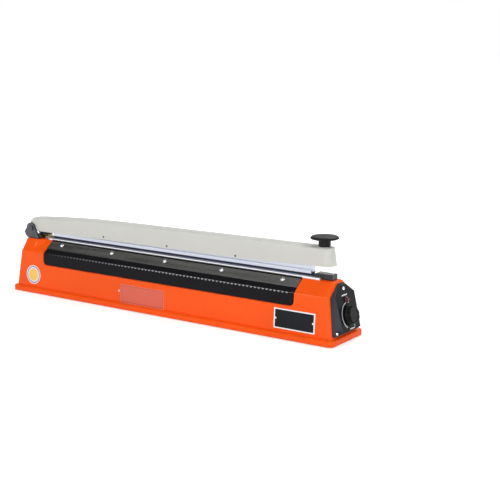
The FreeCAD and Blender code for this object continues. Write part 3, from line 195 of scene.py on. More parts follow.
def spread(tree, source, low, high, from_low=NOISE_LOW, from_high=NOISE_HIGH):
    """Turn a value into a range of numbers."""
    node = tree.nodes.new("ShaderNodeMapRange")
    ends = {"From Min": from_low, "From Max": from_high, "To Min": low, "To Max": high}
    for socket, value in ends.items():
        node.inputs[socket].default_value = value
    tree.links.new(source, node.inputs["Value"])
    return node.outputs["Result"]


def calculate(tree, operation, first, second):
    """A sum on two values, each a number or an output."""
    node = tree.nodes.new("ShaderNodeMath")
    node.operation = operation
    for socket, value in zip(node.inputs, (first, second)):
        if isinstance(value, (int, float)):
            socket.default_value = value
        else:
            tree.links.new(value, socket)
    return node.outputs["Value"]


def blended(tree, mask, first, second):
    """One colour where the mask is 0 and another where it is 1."""
    node = tree.nodes.new("ShaderNodeMix")
    node.data_type = "RGBA"
    tree.links.new(mask, node.inputs["Factor"])
    tree.links.new(first, node.inputs["A"])
    tree.links.new(second, node.inputs["B"])
    return node.outputs["Result"]


def measured(tree, coords, operation, direction=None):
    """In metres, a point's distance from the origin or how far it lies along a direction."""
    node = tree.nodes.new("ShaderNodeVectorMath")
    node.operation = operation
    tree.links.new(coords.outputs["Object"], node.inputs[0])
    if direction:
        node.inputs[1].default_value = direction
    return node.outputs["Value"]


def rounded(tree, bsdf, radius, height, strength, distance=PEEL_DEPTH):
    """Soften hard edges in the shading and add a fine surface relief."""
    bevel = tree.nodes.new("ShaderNodeBevel")
    bevel.samples = BEVEL_SAMPLES
    bevel.inputs["Radius"].default_value = radius
    bump = tree.nodes.new("ShaderNodeBump")
    bump.inputs["Strength"].default_value = strength
    bump.inputs["Distance"].default_value = distance
    tree.links.new(height, bump.inputs["Height"])
    tree.links.new(bevel.outputs["Normal"], bump.inputs["Normal"])
    tree.links.new(bump.outputs["Normal"], bsdf.inputs["Normal"])


def worn(tree, bsdf, source, rough, wear):
    """Roughness that strays below and above a value with a texture."""
    less, more = wear
    tree.links.new(spread(tree, source, rough - less, rough + more), bsdf.inputs["Roughness"])


def tint(color, amount):
    """A colour made darker or lighter."""
    return tuple(channel * amount for channel in color)


def paint(name, color, rough, radius=0.0008, coat=0.0, vary=0.06, gloss=0.5):
    """Sprayed paint: nearly even colour, faint orange peel."""
    mat, tree, bsdf, coords = shader(name, color, rough, gloss=gloss)
    cloud = noise(tree, coords, PAINT_CLOUD)
    shade = mottled(tree, cloud, tint(color, 1.0 - vary), tint(color, 1.0 + vary * 0.5))
    tree.links.new(shade, bsdf.inputs["Base Color"])
    worn(tree, bsdf, noise(tree, coords, PAINT_MOTTLE, detail=FINE_DETAIL), rough, PAINT_WEAR)
    bsdf.inputs["Coat Weight"].default_value = coat
    bsdf.inputs["Coat Roughness"].default_value = COAT_ROUGHNESS
    rounded(tree, bsdf, radius, noise(tree, coords, PAINT_PEEL), PEEL_STRENGTH)
    return mat


def ink(name, color, rough, vary, gloss=0.5):
    """Printed colour on a thin film."""
    return paint(name, color, rough, radius=0.0001, vary=vary, gloss=gloss)


def metal(name, color, rough, stretch=EVEN, radius=0.0003, relief=0.15, vary=0.12):
    """Drawn or brushed metal with its grain along one direction."""
    mat, tree, bsdf, coords = shader(name, color, rough, 1.0)
    grain = noise(tree, coords, METAL_GRAIN, stretch, FINE_DETAIL)
    cloud = noise(tree, coords, METAL_CLOUD, stretch)
    tree.links.new(mottled(tree, cloud, tint(color, 1.0 - vary), color), bsdf.inputs["Base Color"])
    worn(tree, bsdf, grain, rough, METAL_WEAR)
    rounded(tree, bsdf, radius, grain, relief, BRUSH_DEPTH)
    return mat


def plastic(name, color, rough, radius=0.0006, grain=PLASTIC_GRAIN, relief=0.25, vary=0.25,
            gloss=0.5):
    """Moulded plastic, rubber, tape or cloth with a fine grain."""
    mat, tree, bsdf, coords = shader(name, color, rough, gloss=gloss)
    cloud = noise(tree, coords, PLASTIC_CLOUD)
    shade = mottled(tree, cloud, tint(color, 1.0 - vary), tint(color, 1.0 + vary))
    tree.links.new(shade, bsdf.inputs["Base Color"])
    worn(tree, bsdf, noise(tree, coords, PLASTIC_MOTTLE), rough, PLASTIC_WEAR)
    rounded(tree, bsdf, radius, noise(tree, coords, grain), relief, GRAIN_DEPTH)
    return mat


def patch(mat, box, shades, along=None):
    """Other shades inside a box, mixed by noise or along X; gives mask, tree and shader."""
    tree = mat.node_tree
    bsdf = tree.nodes["Principled BSDF"]
    coords = tree.nodes.new("ShaderNodeTexCoord")
    split = tree.nodes.new("ShaderNodeSeparateXYZ")
    tree.links.new(coords.outputs["Object"], split.inputs["Vector"])
    mask = None
    for axis, start, end in zip("XYZ", *box):
        above = calculate(tree, "GREATER_THAN", split.outputs[axis], start * MM)
        below = calculate(tree, "LESS_THAN", split.outputs[axis], end * MM)
        inside = calculate(tree, "MULTIPLY", above, below)
        mask = inside if mask is None else calculate(tree, "MULTIPLY", mask, inside)
    before = bsdf.inputs["Base Color"].links[0].from_socket
    if along:
        source = spread(tree, split.outputs["X"], 0.0, 1.0, along[0] * MM, along[1] * MM)
    else:
        source = spread(tree, noise(tree, coords, PATCH_GRAIN), 0.0, 1.0)
    shade = ramp(tree, source, [(0.0, shades[0]), (1.0, shades[1])])
    tree.links.new(blended(tree, mask, before, shade), bsdf.inputs["Base Color"])
    return mask, tree, bsdf


def axes(origin, across, up, normal):
    """A frame from its origin and its three directions."""
    turn = Matrix((across, up, normal)).transposed().to_4x4()
    turn.translation = Vector(origin) * MM
    return turn


def on_front(x, z):
    """Frame on the front wall at a place given by X and Z."""
    y = -(SHOULDER_Y + math.tan(DRAFT) * (SHOULDER_Z - z))
    return axes((x, y, z), (1.0, 0.0, 0.0), FRONT_UP, FRONT_OUT)


def on_panel(up, across=0.0):
    """Frame on the panel's face, up along the end wall."""
    out = FACE_RISE - up * math.tan(TILT)
    x = END_X - up * math.sin(LEAN) + out * math.cos(LEAN)
    z = FLANGE_TOP + up * math.cos(LEAN) + out * math.sin(LEAN)
    return axes((x, across, z), (0.0, 1.0, 0.0), FACE_UP, FACE_OUT)


def plate_look():
    """Black plate; the floors of its notches carry a painted highlight, dimmer towards the hinge.
    """
    color = (0.0050, 0.0052, 0.0066)
    dim_highlight, full_highlight = (0.015, 0.015, 0.018), (0.42, 0.42, 0.45)
    mat, tree, bsdf, coords = shader("black_paint", color, 0.40, gloss=0.10)
    shade = mottled(tree, noise(tree, coords, PAINT_CLOUD), tint(color, 0.75), tint(color, 1.2))
    tree.links.new(shade, bsdf.inputs["Base Color"])
    # Painted highlight: the notch floors go from near black to light grey along X
    patch(mat, NOTCH_HIGHLIGHT_BOX, (dim_highlight, full_highlight), NOTCH_HIGHLIGHT_FADE)
    rounded(tree, bsdf, 0.0003, noise(tree, coords, PAINT_PEEL), 0.06)
    return mat


def platform_look():
    """Satin aluminium bar; the foot of its front face, behind the strip, is painted dark as painted
    shade.
    """
    mat = metal("satin_aluminium", (0.86, 0.87, 0.91), 0.50, ALONG_X, relief=0.08)
    shades = ((0.030, 0.030, 0.031), (0.045, 0.045, 0.046))
    # Painted shade: the foot of the front face is dark and not metallic, as if shaded by the strip
    foot, tree, bsdf = patch(mat, PLATFORM_FOOT_SHADE, shades)
    tree.links.new(spread(tree, foot, 1.0, 0.0, 0.0, 1.0), bsdf.inputs["Metallic"])
    return mat


def panel_look():
    """Moulded panel: grained flanks painted lighter grey as painted sheen, a smooth black face."""
    mat, tree, bsdf, coords = shader("panel_plastic", (0.04, 0.041, 0.046), 0.45, gloss=0.10)
    level = on_panel(TIMER_UP).translation.dot(Vector(FACE_OUT)) - FACE_MARGIN * MM
    height = measured(tree, coords, "DOT_PRODUCT", FACE_OUT)
    mask = calculate(tree, "GREATER_THAN", height, level)
    cloud = noise(tree, coords, PLASTIC_CLOUD)
    # Painted sheen: the flanks are painted lighter grey than the face, standing in for the light
    # they catch
    flank_sheen = mottled(tree, cloud, (0.034, 0.035, 0.041), (0.050, 0.052, 0.060))
    face = mottled(tree, cloud, (0.0030, 0.0038, 0.0045), (0.0050, 0.0060, 0.0068))
    tree.links.new(blended(tree, mask, flank_sheen, face), bsdf.inputs["Base Color"])
    tree.links.new(spread(tree, mask, 0.48, 0.36, 0.0, 1.0), bsdf.inputs["Roughness"])
    rounded(tree, bsdf, 0.0006, noise(tree, coords, PLASTIC_GRAIN), 0.15, GRAIN_DEPTH)
    return mat


def lens_look():
    """Dark red lamp lens, lit only by the room."""
    mat, tree, bsdf, coords = shader("red_lens", (0.05, 0.003, 0.006), 0.18, gloss=0.3)
    grain = noise(tree, coords, LENS_GRAIN)
    shade = mottled(tree, grain, (0.040, 0.003, 0.006), (0.075, 0.006, 0.011))
    tree.links.new(shade, bsdf.inputs["Base Color"])
    bsdf.inputs["Coat Weight"].default_value = 0.3
    rounded(tree, bsdf, 0.0003, grain, 0.08)
    return mat


orange = paint("orange_paint", (0.90, 0.092, 0.004), 0.34, radius=0.002, coat=0.25, gloss=0.04)
# Painted shade: a near-black line on the ridge, in the gap between the clamp strip and the platform
patch(orange, RIDGE_SHADE, ((0.008, 0.008, 0.009), (0.012, 0.012, 0.013)))
ivory = paint("ivory_paint", (0.58, 0.585, 0.545), 0.45, radius=0.0006, vary=0.03, gloss=0.3)
black = plate_look()
grey = metal("grey_steel", (0.115, 0.115, 0.13), 0.34, radius=0.0008, vary=0.3)
stainless = metal("stainless", (0.30, 0.30, 0.29), 0.30, ALONG_X, relief=0.015)
bright = metal("bright_steel", (0.78, 0.78, 0.78), 0.20, vary=0.08)
dark_steel = metal("dark_steel", (0.10, 0.10, 0.11), 0.42)
spring_steel = metal("spring_steel", (0.42, 0.40, 0.36), 0.34)
aluminium = metal("aluminium", (0.58, 0.61, 0.70), 0.30, ALONG_X)
platform_satin = platform_look()
brass = metal("brass", (0.66, 0.47, 0.17), 0.28)
copper = metal("copper", (0.55, 0.24, 0.11), 0.35, ALONG_Z, relief=0.5)
plate_zinc = metal("zinc_plate", (0.55, 0.56, 0.57), 0.36, ALONG_Y)
panel_black = panel_look()
knob_black = plastic("knob_plastic", (0.006, 0.006, 0.007), 0.40, gloss=0.14)
press_black = plastic("press_plastic", (0.008, 0.0085, 0.009), 0.42, gloss=0.14)
lid_black = plastic("lid_plastic", (0.008, 0.008, 0.010), 0.15, relief=0.02, gloss=0.4)
hidden_black = plastic("part_plastic", (0.016, 0.017, 0.019), 0.42, gloss=0.35)
rubber = plastic("black_rubber", (0.036, 0.042, 0.078), 0.60, radius=0.0003, gloss=0.3)
cloth = plastic("dark_cloth", (0.040, 0.047, 0.090), 0.50, radius=0.0001, grain=CLOTH_GRAIN,
                relief=0.5)
tape_white = plastic("tape_white", (0.66, 0.67, 0.62), 0.50, radius=0.0001, vary=0.06)
board_green = plastic("board_green", (0.03, 0.16, 0.07), 0.40, radius=0.0002)
relay_blue = plastic("relay_blue", (0.03, 0.09, 0.34), 0.35)
core_grey = metal("core_steel", (0.20, 0.20, 0.21), 0.45, LAYERS_Y, relief=0.6)
lens = lens_look()

LOOKS = {
    orange: ["base_housing"],
    ivory: ["arm_shell"],
    black: ["front_plate"],
    grey: ["hinge_bracket"],
    stainless: ["clamp_strip", "heating_element", "timer_shaft", "switch_striker"],
    bright: ["clamp_screws", "pivot_bush", "press_knob_screw", "terminal_screws",
             "terminal_cover_screw", "panel_screws", "bottom_plate_screws"],
    dark_steel: ["press_bar_pins", "hinge_pin"],
    spring_steel: ["return_spring"],
    plate_zinc: ["bottom_plate"],
    aluminium: ["press_bar"],
    platform_satin: ["sealing_platform"],
    brass: ["left_terminal", "right_terminal", "hinge_screws"],
    copper: ["transformer_winding"],
    panel_black: ["control_panel"],
    lid_black: ["terminal_cover"],
    hidden_black: ["timer_potentiometer", "micro_switch", "switch_plunger", "board_spacers"],
    knob_black: ["timer_knob"],
    press_black: ["press_knob"],
    lens: ["indicator_lamp"],
    rubber: ["rubber_strip", "rubber_feet", "cable_gland"],
    cloth: ["cover_sheet"],
    tape_white: ["insulation_tape"],
    board_green: ["timer_board"],
    relay_blue: ["timer_relay"],
    core_grey: ["transformer_core"],
}
for look, names in LOOKS.items():
    for name in names:
        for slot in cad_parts[name].material_slots:
            slot.material = look


# Tools for new pieces


def piece(name, mesh, look, body, smooth=True):
    """A new visible piece that moves with a body."""
    thing = bpy.data.objects.new(name, mesh)
    bpy.context.scene.collection.objects.link(thing)
    mesh.materials.append(look)
    for face in mesh.polygons:
        face.use_smooth = smooth
    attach(thing, body)
    return thing


def mesh_from(name, shape):
    """A mesh from a bmesh, which is freed."""
    mesh = bpy.data.meshes.new(name)
    shape.to_mesh(mesh)
    shape.free()
    return mesh


def finished_mesh(name, shape, place):
    """A mesh from a bmesh, its faces turned outwards, stood in its frame."""
    bmesh.ops.recalc_face_normals(shape, faces=shape.faces)
    shape.transform(place)
    return mesh_from(name, shape)


def skinned(shape, rings, sides):
    """Faces between neighbouring rings of points; a ring of one point closes to a tip."""
    for low, high in zip(rings, rings[1:]):
        for step in range(sides):
            after = (step + 1) % sides
            corners = [low[step % len(low)], low[after % len(low)],
                       high[after % len(high)], high[step % len(high)]]
            shape.faces.new(list(dict.fromkeys(corners)))


def rounded_rectangle(width, height, radius):
    """Outline of a rectangle with round corners, centred."""
    points = []
    corners = ((1, 1, 0), (-1, 1, 90), (-1, -1, 180), (1, -1, 270))
    for side_x, side_y, start in corners:
        x = side_x * (width / 2 - radius)
        y = side_y * (height / 2 - radius)
        for step in range(CORNER_STEPS + 1):
            angle = math.radians(start + 90.0 * step / CORNER_STEPS)
            points.append((x + radius * math.cos(angle), y + radius * math.sin(angle)))
    return points


def round_outline(radius, steps=64):
    """Outline of a disc."""
    turns = [2 * math.pi * step / steps for step in range(steps)]
    return [(radius * math.cos(turn), radius * math.sin(turn)) for turn in turns]


def arc_outline(radius, width_start, width_end, start, end):
    """Outline of a curved stroke whose width changes along it; its ends are in degrees."""
    outer = []
    inner = []
    for step in range(ARC_STEPS + 1):
        share = step / ARC_STEPS
        angle = math.radians(start + (end - start) * share)
        half = (width_start + (width_end - width_start) * share) / 2
        outer.append(((radius + half) * math.cos(angle), (radius + half) * math.sin(angle)))
        inner.append(((radius - half) * math.cos(angle), (radius - half) * math.sin(angle)))
    return outer + inner[::-1]


def slab(name, outline, place, low, high, look, slot="stainless", edge=0.0):
    """A flat piece on the base with the given outline, from low to high above its frame."""
    shape = bmesh.new()
    corners = [shape.verts.new((x * MM, y * MM, low * MM)) for x, y in outline]
    base = shape.faces.new(corners)
    lifted = bmesh.ops.extrude_face_region(shape, geom=[base])
    tops = [item for item in lifted["geom"] if isinstance(item, bmesh.types.BMVert)]
    bmesh.ops.translate(shape, verts=tops, vec=(0.0, 0.0, (high - low) * MM))
    if edge:
        level = (high - AT_TOP) * MM
        rim = [item for item in shape.edges if all(end.co.z > level for end in item.verts)]
        bmesh.ops.bevel(shape, geom=rim, offset=edge * MM, segments=2, affect="EDGES")
    piece(name, finished_mesh(name, shape, place), look, "base", smooth=False)


def eased(profile, amount):
    """A profile with its corners rounded by about the given amount."""
    points = [Vector(point) for point in profile]
    result = [points[0]]
    for before, corner, after in zip(points, points[1:], points[2:]):
        sides = [other - corner for other in (before, after)]
        start, end = [corner + side.normalized() * min(amount, side.length * EASE_SHARE)
                      for side in sides]
        for step in range(EASE_STEPS + 1):
            share = step / EASE_STEPS
            result.append(start.lerp(corner, share).lerp(corner.lerp(end, share), share))
    return result + [points[-1]]


def turned(name, profile, place, look, body, segments, wave=None):
    """A turned piece: its profile is radius and height, from the axis round to the axis again."""
    shape = bmesh.new()
    rings = []
    for radius, height in profile:
        if radius < ON_AXIS:
            rings.append([shape.verts.new((0.0, 0.0, height * MM))])
            continue
        ring = []
        for step in range(segments):
            turn = 2 * math.pi * step / segments
            reach = (radius - (wave(turn, radius, height) if wave else 0.0)) * MM
            spot = (reach * math.cos(turn), reach * math.sin(turn), height * MM)
            ring.append(shape.verts.new(spot))
        rings.append(ring)
    skinned(shape, rings, segments)
    thing = piece(name, finished_mesh(name, shape, place), look, body)
    thing.data.set_sharp_from_angle(angle=TURNED_CREASE)
    return thing


def swept(name, path, radius, look, body):
    """A round wire along a path of points."""
    shape = bmesh.new()
    rings = []
    side = None
    for index, point in enumerate(path):
        ahead = (path[min(index + 1, len(path) - 1)] - path[max(index - 1, 0)]).normalized()
        guess = side if side is not None else ahead.orthogonal()
        side = (guess - ahead * guess.dot(ahead)).normalized()
        other = ahead.cross(side)
        ring = [point + side * x + other * y for x, y in round_outline(radius, WIRE_SIDES)]
        rings.append([shape.verts.new(spot * MM) for spot in ring])
    skinned(shape, rings, WIRE_SIDES)
    shape.faces.new(rings[0])
    shape.faces.new(rings[-1][::-1])
    return piece(name, finished_mesh(name, shape, Matrix.Identity(4)), look, body)


# Bare plates and stickers on the front wall, and printed marks on the panel
plate_silver = metal("plate_rim", (0.78, 0.78, 0.79), 0.34, ALONG_X)
plate_field = paint("plate_field", (0.007, 0.009, 0.012), 0.36, radius=0.0002, vary=0.3,
                    gloss=0.15)
label_red = ink("label_red", (0.68, 0.125, 0.080), 0.42, 0.05, gloss=0.3)
label_pale = ink("label_pale", (0.74, 0.20, 0.13), 0.42, 0.05, gloss=0.3)
label_edge = ink("label_edge", (0.42, 0.045, 0.020), 0.42, 0.05, gloss=0.3)
sticker_white = ink("sticker_white", (0.76, 0.74, 0.78), 0.35, 0.03)
sticker_ring = ink("sticker_ring", (0.16, 0.09, 0.26), 0.35, 0.1)
sticker_gold = ink("sticker_gold", (0.84, 0.52, 0.09), 0.35, 0.12)
mark_white = ink("mark_white", (0.62, 0.62, 0.62), 0.45, 0.04)
mark_blue = ink("mark_blue", (0.22, 0.42, 0.52), 0.45, 0.06)

# Where they stand
NAMEPLATE = on_front(254.5, 30.5)
LABEL = on_front(-37.5, 25.9)
LABEL_END = on_front(-85.6, 29.5)
STICKER = on_front(-281.0, 31.5)
TIMER = on_panel(TIMER_UP)

# Thicknesses: a sticker's film, each print on it, a mark's ink, the nameplate and its small bevel
FILM = 0.10
PRINT = 0.03
INK = 0.06
PLATE_THICK = 0.5
PLATE_EDGE = 0.15

# Rivets: their radius and sides, how far the nameplate's stand from its middle, and for those and
# the label's the height of the top and how much its edge is rounded
RIVET_RADIUS = 1.5
RIVET_STEPS = 32
RIVET_REACH = 32.6
PLATE_RIVET = (1.2, 0.5)
LABEL_RIVET = (0.8, 0.4)

# Outlines: the nameplate, the label's layers by width and height, the sticker's by radius, marks
PLATE_RIM = rounded_rectangle(72.0, 31.0, 1.2)
PLATE_FIELD = rounded_rectangle(67.6, 27.0, 0.8)
LABEL_CORNER = 0.5
LABEL_LAYERS = (
    ("label_border", 91.0, 30.6, label_pale),
    ("label_line", 88.6, 28.2, label_edge),
    ("label_field", 87.2, 26.8, label_red),
)
STICKER_LAYERS = (
    ("sticker_back", 16.4, sticker_white),
    ("sticker_ring", 14.6, sticker_ring),
    ("sticker_band", 13.2, sticker_white),
    ("sticker_centre", 10.6, sticker_gold),
)
MARKS = (
    ("timer_scale", arc_outline(19.6, 0.9, 1.5, 72.0, 236.0), TIMER, mark_white),
    ("lamp_mark", rounded_rectangle(15.0, 2.0, 0.4), on_panel(60.2, -2.4), mark_white),
    ("timer_mark", rounded_rectangle(14.0, 1.6, 0.4), on_panel(9.6, 2.0), mark_white),
    ("timer_sign", rounded_rectangle(2.6, 3.2, 0.6), on_panel(12.6, 9.5), mark_blue),
)


def layer(index):
    """Bottom and top of one layer of a sticker: the film, then the prints on it."""
    if index == 0:
        return 0.0, FILM
    return FILM + PRINT * (index - 1), FILM + PRINT * index


def rivet(name, place, low, high, edge, x=0.0):
    """A round rivet head, set off along its frame's X."""
    outline = [(px + x, py) for px, py in round_outline(RIVET_RADIUS, RIVET_STEPS)]
    slab(name, outline, place, low, high, bright, edge=edge)


slab("nameplate_rim", PLATE_RIM, NAMEPLATE, 0.0, PLATE_THICK, plate_silver, edge=PLATE_EDGE)
slab("nameplate_field", PLATE_FIELD, NAMEPLATE, PLATE_THICK, PLATE_THICK + INK, plate_field,
     slot="black_paint")
for side, name in ((-1, "left"), (1, "right")):
    rivet("nameplate_rivet_" + name, NAMEPLATE, PLATE_THICK, *PLATE_RIVET, side * RIVET_REACH)
for index, (name, width, height, look) in enumerate(LABEL_LAYERS):
    outline = rounded_rectangle(width, height, LABEL_CORNER)
    slab(name, outline, LABEL, *layer(index), look, slot="orange_paint")
rivet("label_rivet", LABEL_END, 0.0, *LABEL_RIVET)
for index, (name, radius, look) in enumerate(STICKER_LAYERS):
    slab(name, round_outline(radius), STICKER, *layer(index), look, slot="ivory_paint")
for name, outline, place, look in MARKS:
    slab(name, outline, place, 0.0, INK, look, slot="ivory_paint")


# Round pieces with smooth forms in place of the many-sided solids: their profiles as radius and
# height, how much the corners are eased, and their sides
KNOB = ((0.0, 0.6), (15.0, 0.6), (15.0, 3.0), (13.6, 3.4),
        (13.5, 10.0), (10.5, 10.0), (9.8, 9.4), (0.0, 9.4))
KNOB_EASE = 0.7
KNOB_SIDES = 144
PRESS = ((0.0, 0.0), (9.2, 0.0), (9.2, 11.7), (20.7, 11.7),
         (21.6, 12.6), (21.6, 13.5), (19.6, 15.5), (0.0, 15.5))
PRESS_EASE = 1.0
PRESS_SIDES = 96
PRESS_SEAT = Matrix.Translation((PRESS_X * MM, 0.0, SEAT_Z * MM))
LENS = ((0.0, -3.0), (3.8, -3.0), (3.8, 0.0), (4.8, 0.0), (4.8, 1.2),
        (3.8, 1.2), (3.8, 2.4), (2.4, 4.2), (0.0, 4.5))
LENS_EASE = 0.5
LENS_SIDES = 48

# Hollows round the timer knob: the height they begin at, the radius inside which there are none,
# their depth, half their width as a share of their pitch, and the sharpness of their sides
KNOB_FLUTES = 9
FLUTE_PITCH = 2 * math.pi / KNOB_FLUTES
FLUTE_FROM = 3.1
FLUTE_INSIDE = 9.0
FLUTE_DEPTH = 1.1
FLUTE_SHARE = 0.24
FLUTE_POWER = 1.5


def flute(turn, radius, height):
    """Depth of the hollows round the timer knob's grip."""
    if height < FLUTE_FROM or radius < FLUTE_INSIDE:
        return 0.0
    half = FLUTE_PITCH / 2
    offset = abs((turn + math.pi / 2 + half) % FLUTE_PITCH - half)
    share = offset / (FLUTE_SHARE * FLUTE_PITCH)
    return FLUTE_DEPTH * math.cos(share * math.pi / 2) ** FLUTE_POWER if share < 1.0 else 0.0


knob = turned("timer_knob_grip", eased(KNOB, KNOB_EASE), TIMER, knob_black, "timer",
              KNOB_SIDES, flute)
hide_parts("timer_knob")
press = turned("press_knob_top", eased(PRESS, PRESS_EASE), PRESS_SEAT, press_black, "arm",
               PRESS_SIDES)
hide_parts("press_knob")
lamp = turned("indicator_lens", eased(LENS, LENS_EASE), on_panel(LAMP_UP), lens, "base",
              LENS_SIDES)
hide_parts("indicator_lamp")

# The return spring: a foot on the bracket, a coil round the hinge pin, a leg under the arm
SPRING_RADIUS = 6.3
SPRING_PITCH = 1.75
SPRING_TURNS = 3.5
SPRING_WIRE = 0.6
SPRING_START_Y = -10.0
SPRING_FOOT = 10.0
SPRING_LEG = 22.0
BRACKET_SHEET = 2.5
COIL_STEPS = 168


def coil_point(turn):
    """A point on the spring's coil after a number of turns."""
    angle = 2 * math.pi * turn
    return Vector((PIN_X - SPRING_RADIUS * math.sin(angle), SPRING_START_Y + SPRING_PITCH * turn,
                   PIN_Z - SPRING_RADIUS * math.cos(angle)))


coil = [coil_point(SPRING_TURNS * step / COIL_STEPS) for step in range(COIL_STEPS + 1)]
spring_foot = Vector((coil[0].x + SPRING_FOOT, coil[0].y, TOP_Z + BRACKET_SHEET + SPRING_WIRE))
spring_path = [spring_foot] + coil + [coil[-1] + Vector((SPRING_LEG, 0.0, 0.0))]
spring = swept("return_spring_wire", spring_path, SPRING_WIRE, spring_steel, "base")
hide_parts("return_spring")


# The arm with its long top edges rounded in place of the solid's small chamfers, and the back of
# its heel set upright. It is cut at ARM_CUTS from its middle, so that its top can follow the round.
ARM_HALF = 13.5
ARM_ROUND = 6.0
ARM_BEVEL = 1.2
ARM_CUTS = (7.5, 8.6, 9.7, 10.7, 11.6, 12.75, 13.15)
CROWN_FROM = PIN_Z + 6.0
CROWN_MARGIN = 0.05
TOP_MARGIN = 0.1
HEEL_X = PIN_X - 10.0
HEEL_SHIFT = 5.0
HEEL_REACH = 8.0
HEEL_FROM = PIN_Z + 2.0
HEEL_TO = PIN_Z + 7.0


def share_between(value, low, high):
    """How far a value is through a range: 0 below it, 1 above it."""
    return min(1.0, max(0.0, (value - low) / (high - low)))


def crown_line(shape):
    """The arm's top line as places along X with their heights, from the solid's own points."""
    tops = {}
    for vert in shape.verts:
        x, y, z = vert.co / MM
        if abs(abs(y) - (ARM_HALF - ARM_BEVEL)) < CROWN_MARGIN and z > CROWN_FROM:
            tops[round(x, 2)] = max(z, tops.get(round(x, 2), 0.0))
    return sorted(tops.items())


def height_on(line, x):
    """Height of a line of points at a place along X."""
    for (x0, z0), (x1, z1) in zip(line, line[1:]):
        if x0 <= x <= x1:
            return z0 + (z1 - z0) * (x - x0) / (x1 - x0)
    return line[0][1] if x < line[0][0] else line[-1][1]


def rounded_arm(point, line):
    """A point of the arm, its top edges drawn down to a round and its heel's back set upright."""
    x, y, z = point / MM
    top = height_on(line, x)
    beyond = abs(y) - (ARM_HALF - ARM_ROUND)
    if z > top - ARM_BEVEL - TOP_MARGIN and beyond > 0.0:
        z = top - ARM_ROUND + math.sqrt(max(0.0, ARM_ROUND ** 2 - beyond ** 2))
    up = share_between(z, HEEL_FROM, HEEL_TO)
    near_back = 1.0 - share_between(x, HEEL_X, HEEL_X + HEEL_REACH)
    return Vector((x + HEEL_SHIFT * up * up * (3.0 - 2.0 * up) * near_back, y, z)) * MM


def arm_mesh(name):
    """The arm's solid, cut along its top edges and drawn down to rounds."""
    shape = bmesh.new()
    shape.from_mesh(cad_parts["arm_shell"].data)
    bmesh.ops.remove_doubles(shape, verts=shape.verts, dist=WELD)
    line = crown_line(shape)
    for cut in ARM_CUTS:
        for side in (-1, 1):
            everything = shape.verts[:] + shape.edges[:] + shape.faces[:]
            bmesh.ops.bisect_plane(shape, geom=everything, plane_co=(0.0, side * cut * MM, 0.0),
                                   plane_no=(0.0, 1.0, 0.0), dist=CUT_SNAP)
    bmesh.ops.triangulate(shape, faces=shape.faces[:])
    for vert in shape.verts:
        vert.co = rounded_arm(vert.co, line)
    return finished_mesh(name, shape, Matrix.Identity(4))


arm = piece("arm_cover", arm_mesh("arm_cover"), ivory, "arm")
arm.data.set_sharp_from_angle(angle=CREASE)
arm.modifiers.new("flat_faces_first", "WEIGHTED_NORMAL").keep_sharp = True
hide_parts("arm_shell")


# Screw heads with cross recesses. The recess is given as shares of the head's width and height.
HEAD_SIDES = 40
DOME_RINGS = 9
CROSS_LENGTH = 0.34
CROSS_WIDTH = 0.10
CROSS_DEPTH = 0.4


def dome_mesh(name, head, dome):
    """A round head as part of a ball, standing on the XY plane."""
    ball = (head * head + dome * dome) / (2 * dome)
    reach = math.asin(head / ball)
    shape = bmesh.new()
    rings = []
    for step in range(DOME_RINGS):
        angle = reach * (1 - step / DOME_RINGS)
        height = dome - ball + ball * math.cos(angle)
        outline = round_outline(ball * math.sin(angle), HEAD_SIDES)
        rings.append([shape.verts.new((x * MM, y * MM, height * MM)) for x, y in outline])
    rings.append([shape.verts.new((0.0, 0.0, dome * MM))])
    skinned(shape, rings, HEAD_SIDES)
    shape.faces.new(rings[0][::-1])
    return mesh_from(name, shape)


def cross_mesh(name, head, dome):
    """Two crossed blocks, sunk into the top of a head."""
    shape = bmesh.new()
    size = Matrix.Diagonal((head * 2 * CROSS_LENGTH * MM, head * 2 * CROSS_WIDTH * MM,
                            dome * CROSS_DEPTH * 2 * MM, 1.0))
    for turn in (0.0, math.pi / 2):
        block = bmesh.ops.create_cube(shape, size=1.0)["verts"]
        move = Matrix.Rotation(turn, 4, "Z") @ Matrix.Translation((0.0, 0.0, dome * MM))
        bmesh.ops.transform(shape, verts=block, matrix=move @ size)
    return mesh_from(name, shape)


def screw_head_mesh(name, head, dome):
    """A round screw head with a cross recess."""
    solid = bpy.data.objects.new(name + "_solid", dome_mesh(name + "_solid", head, dome))
    knife = bpy.data.objects.new(name + "_knife", cross_mesh(name + "_knife", head, dome))
    for thing in (solid, knife):
        bpy.context.scene.collection.objects.link(thing)
    cut = solid.modifiers.new("cut", "BOOLEAN")
    cut.object = knife
    cut.operation = "DIFFERENCE"
    cut.solver = "EXACT"
    cut.use_self = True
    graph = bpy.context.evaluated_depsgraph_get()
    result = bpy.data.meshes.new_from_object(solid.evaluated_get(graph))
    for thing in (solid, knife):
        bpy.data.objects.remove(thing)
    return result


def islands(node):
    """The separate solids of a CAD node as lists of points."""
    shape = bmesh.new()
    shape.from_mesh(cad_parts[node].data)
    bmesh.ops.remove_doubles(shape, verts=shape.verts, dist=WELD)
    seen = set()
    groups = []
    for vert in shape.verts:
        if vert in seen:
            continue
        stack = [vert]
        seen.add(vert)
        group = []
        while stack:
            current = stack.pop()
            group.append(current.co.copy())
            for edge in current.link_edges:
                other = edge.other_vert(current)
                if other not in seen:
                    seen.add(other)
                    stack.append(other)
        groups.append(group)
    shape.free()
    return groups


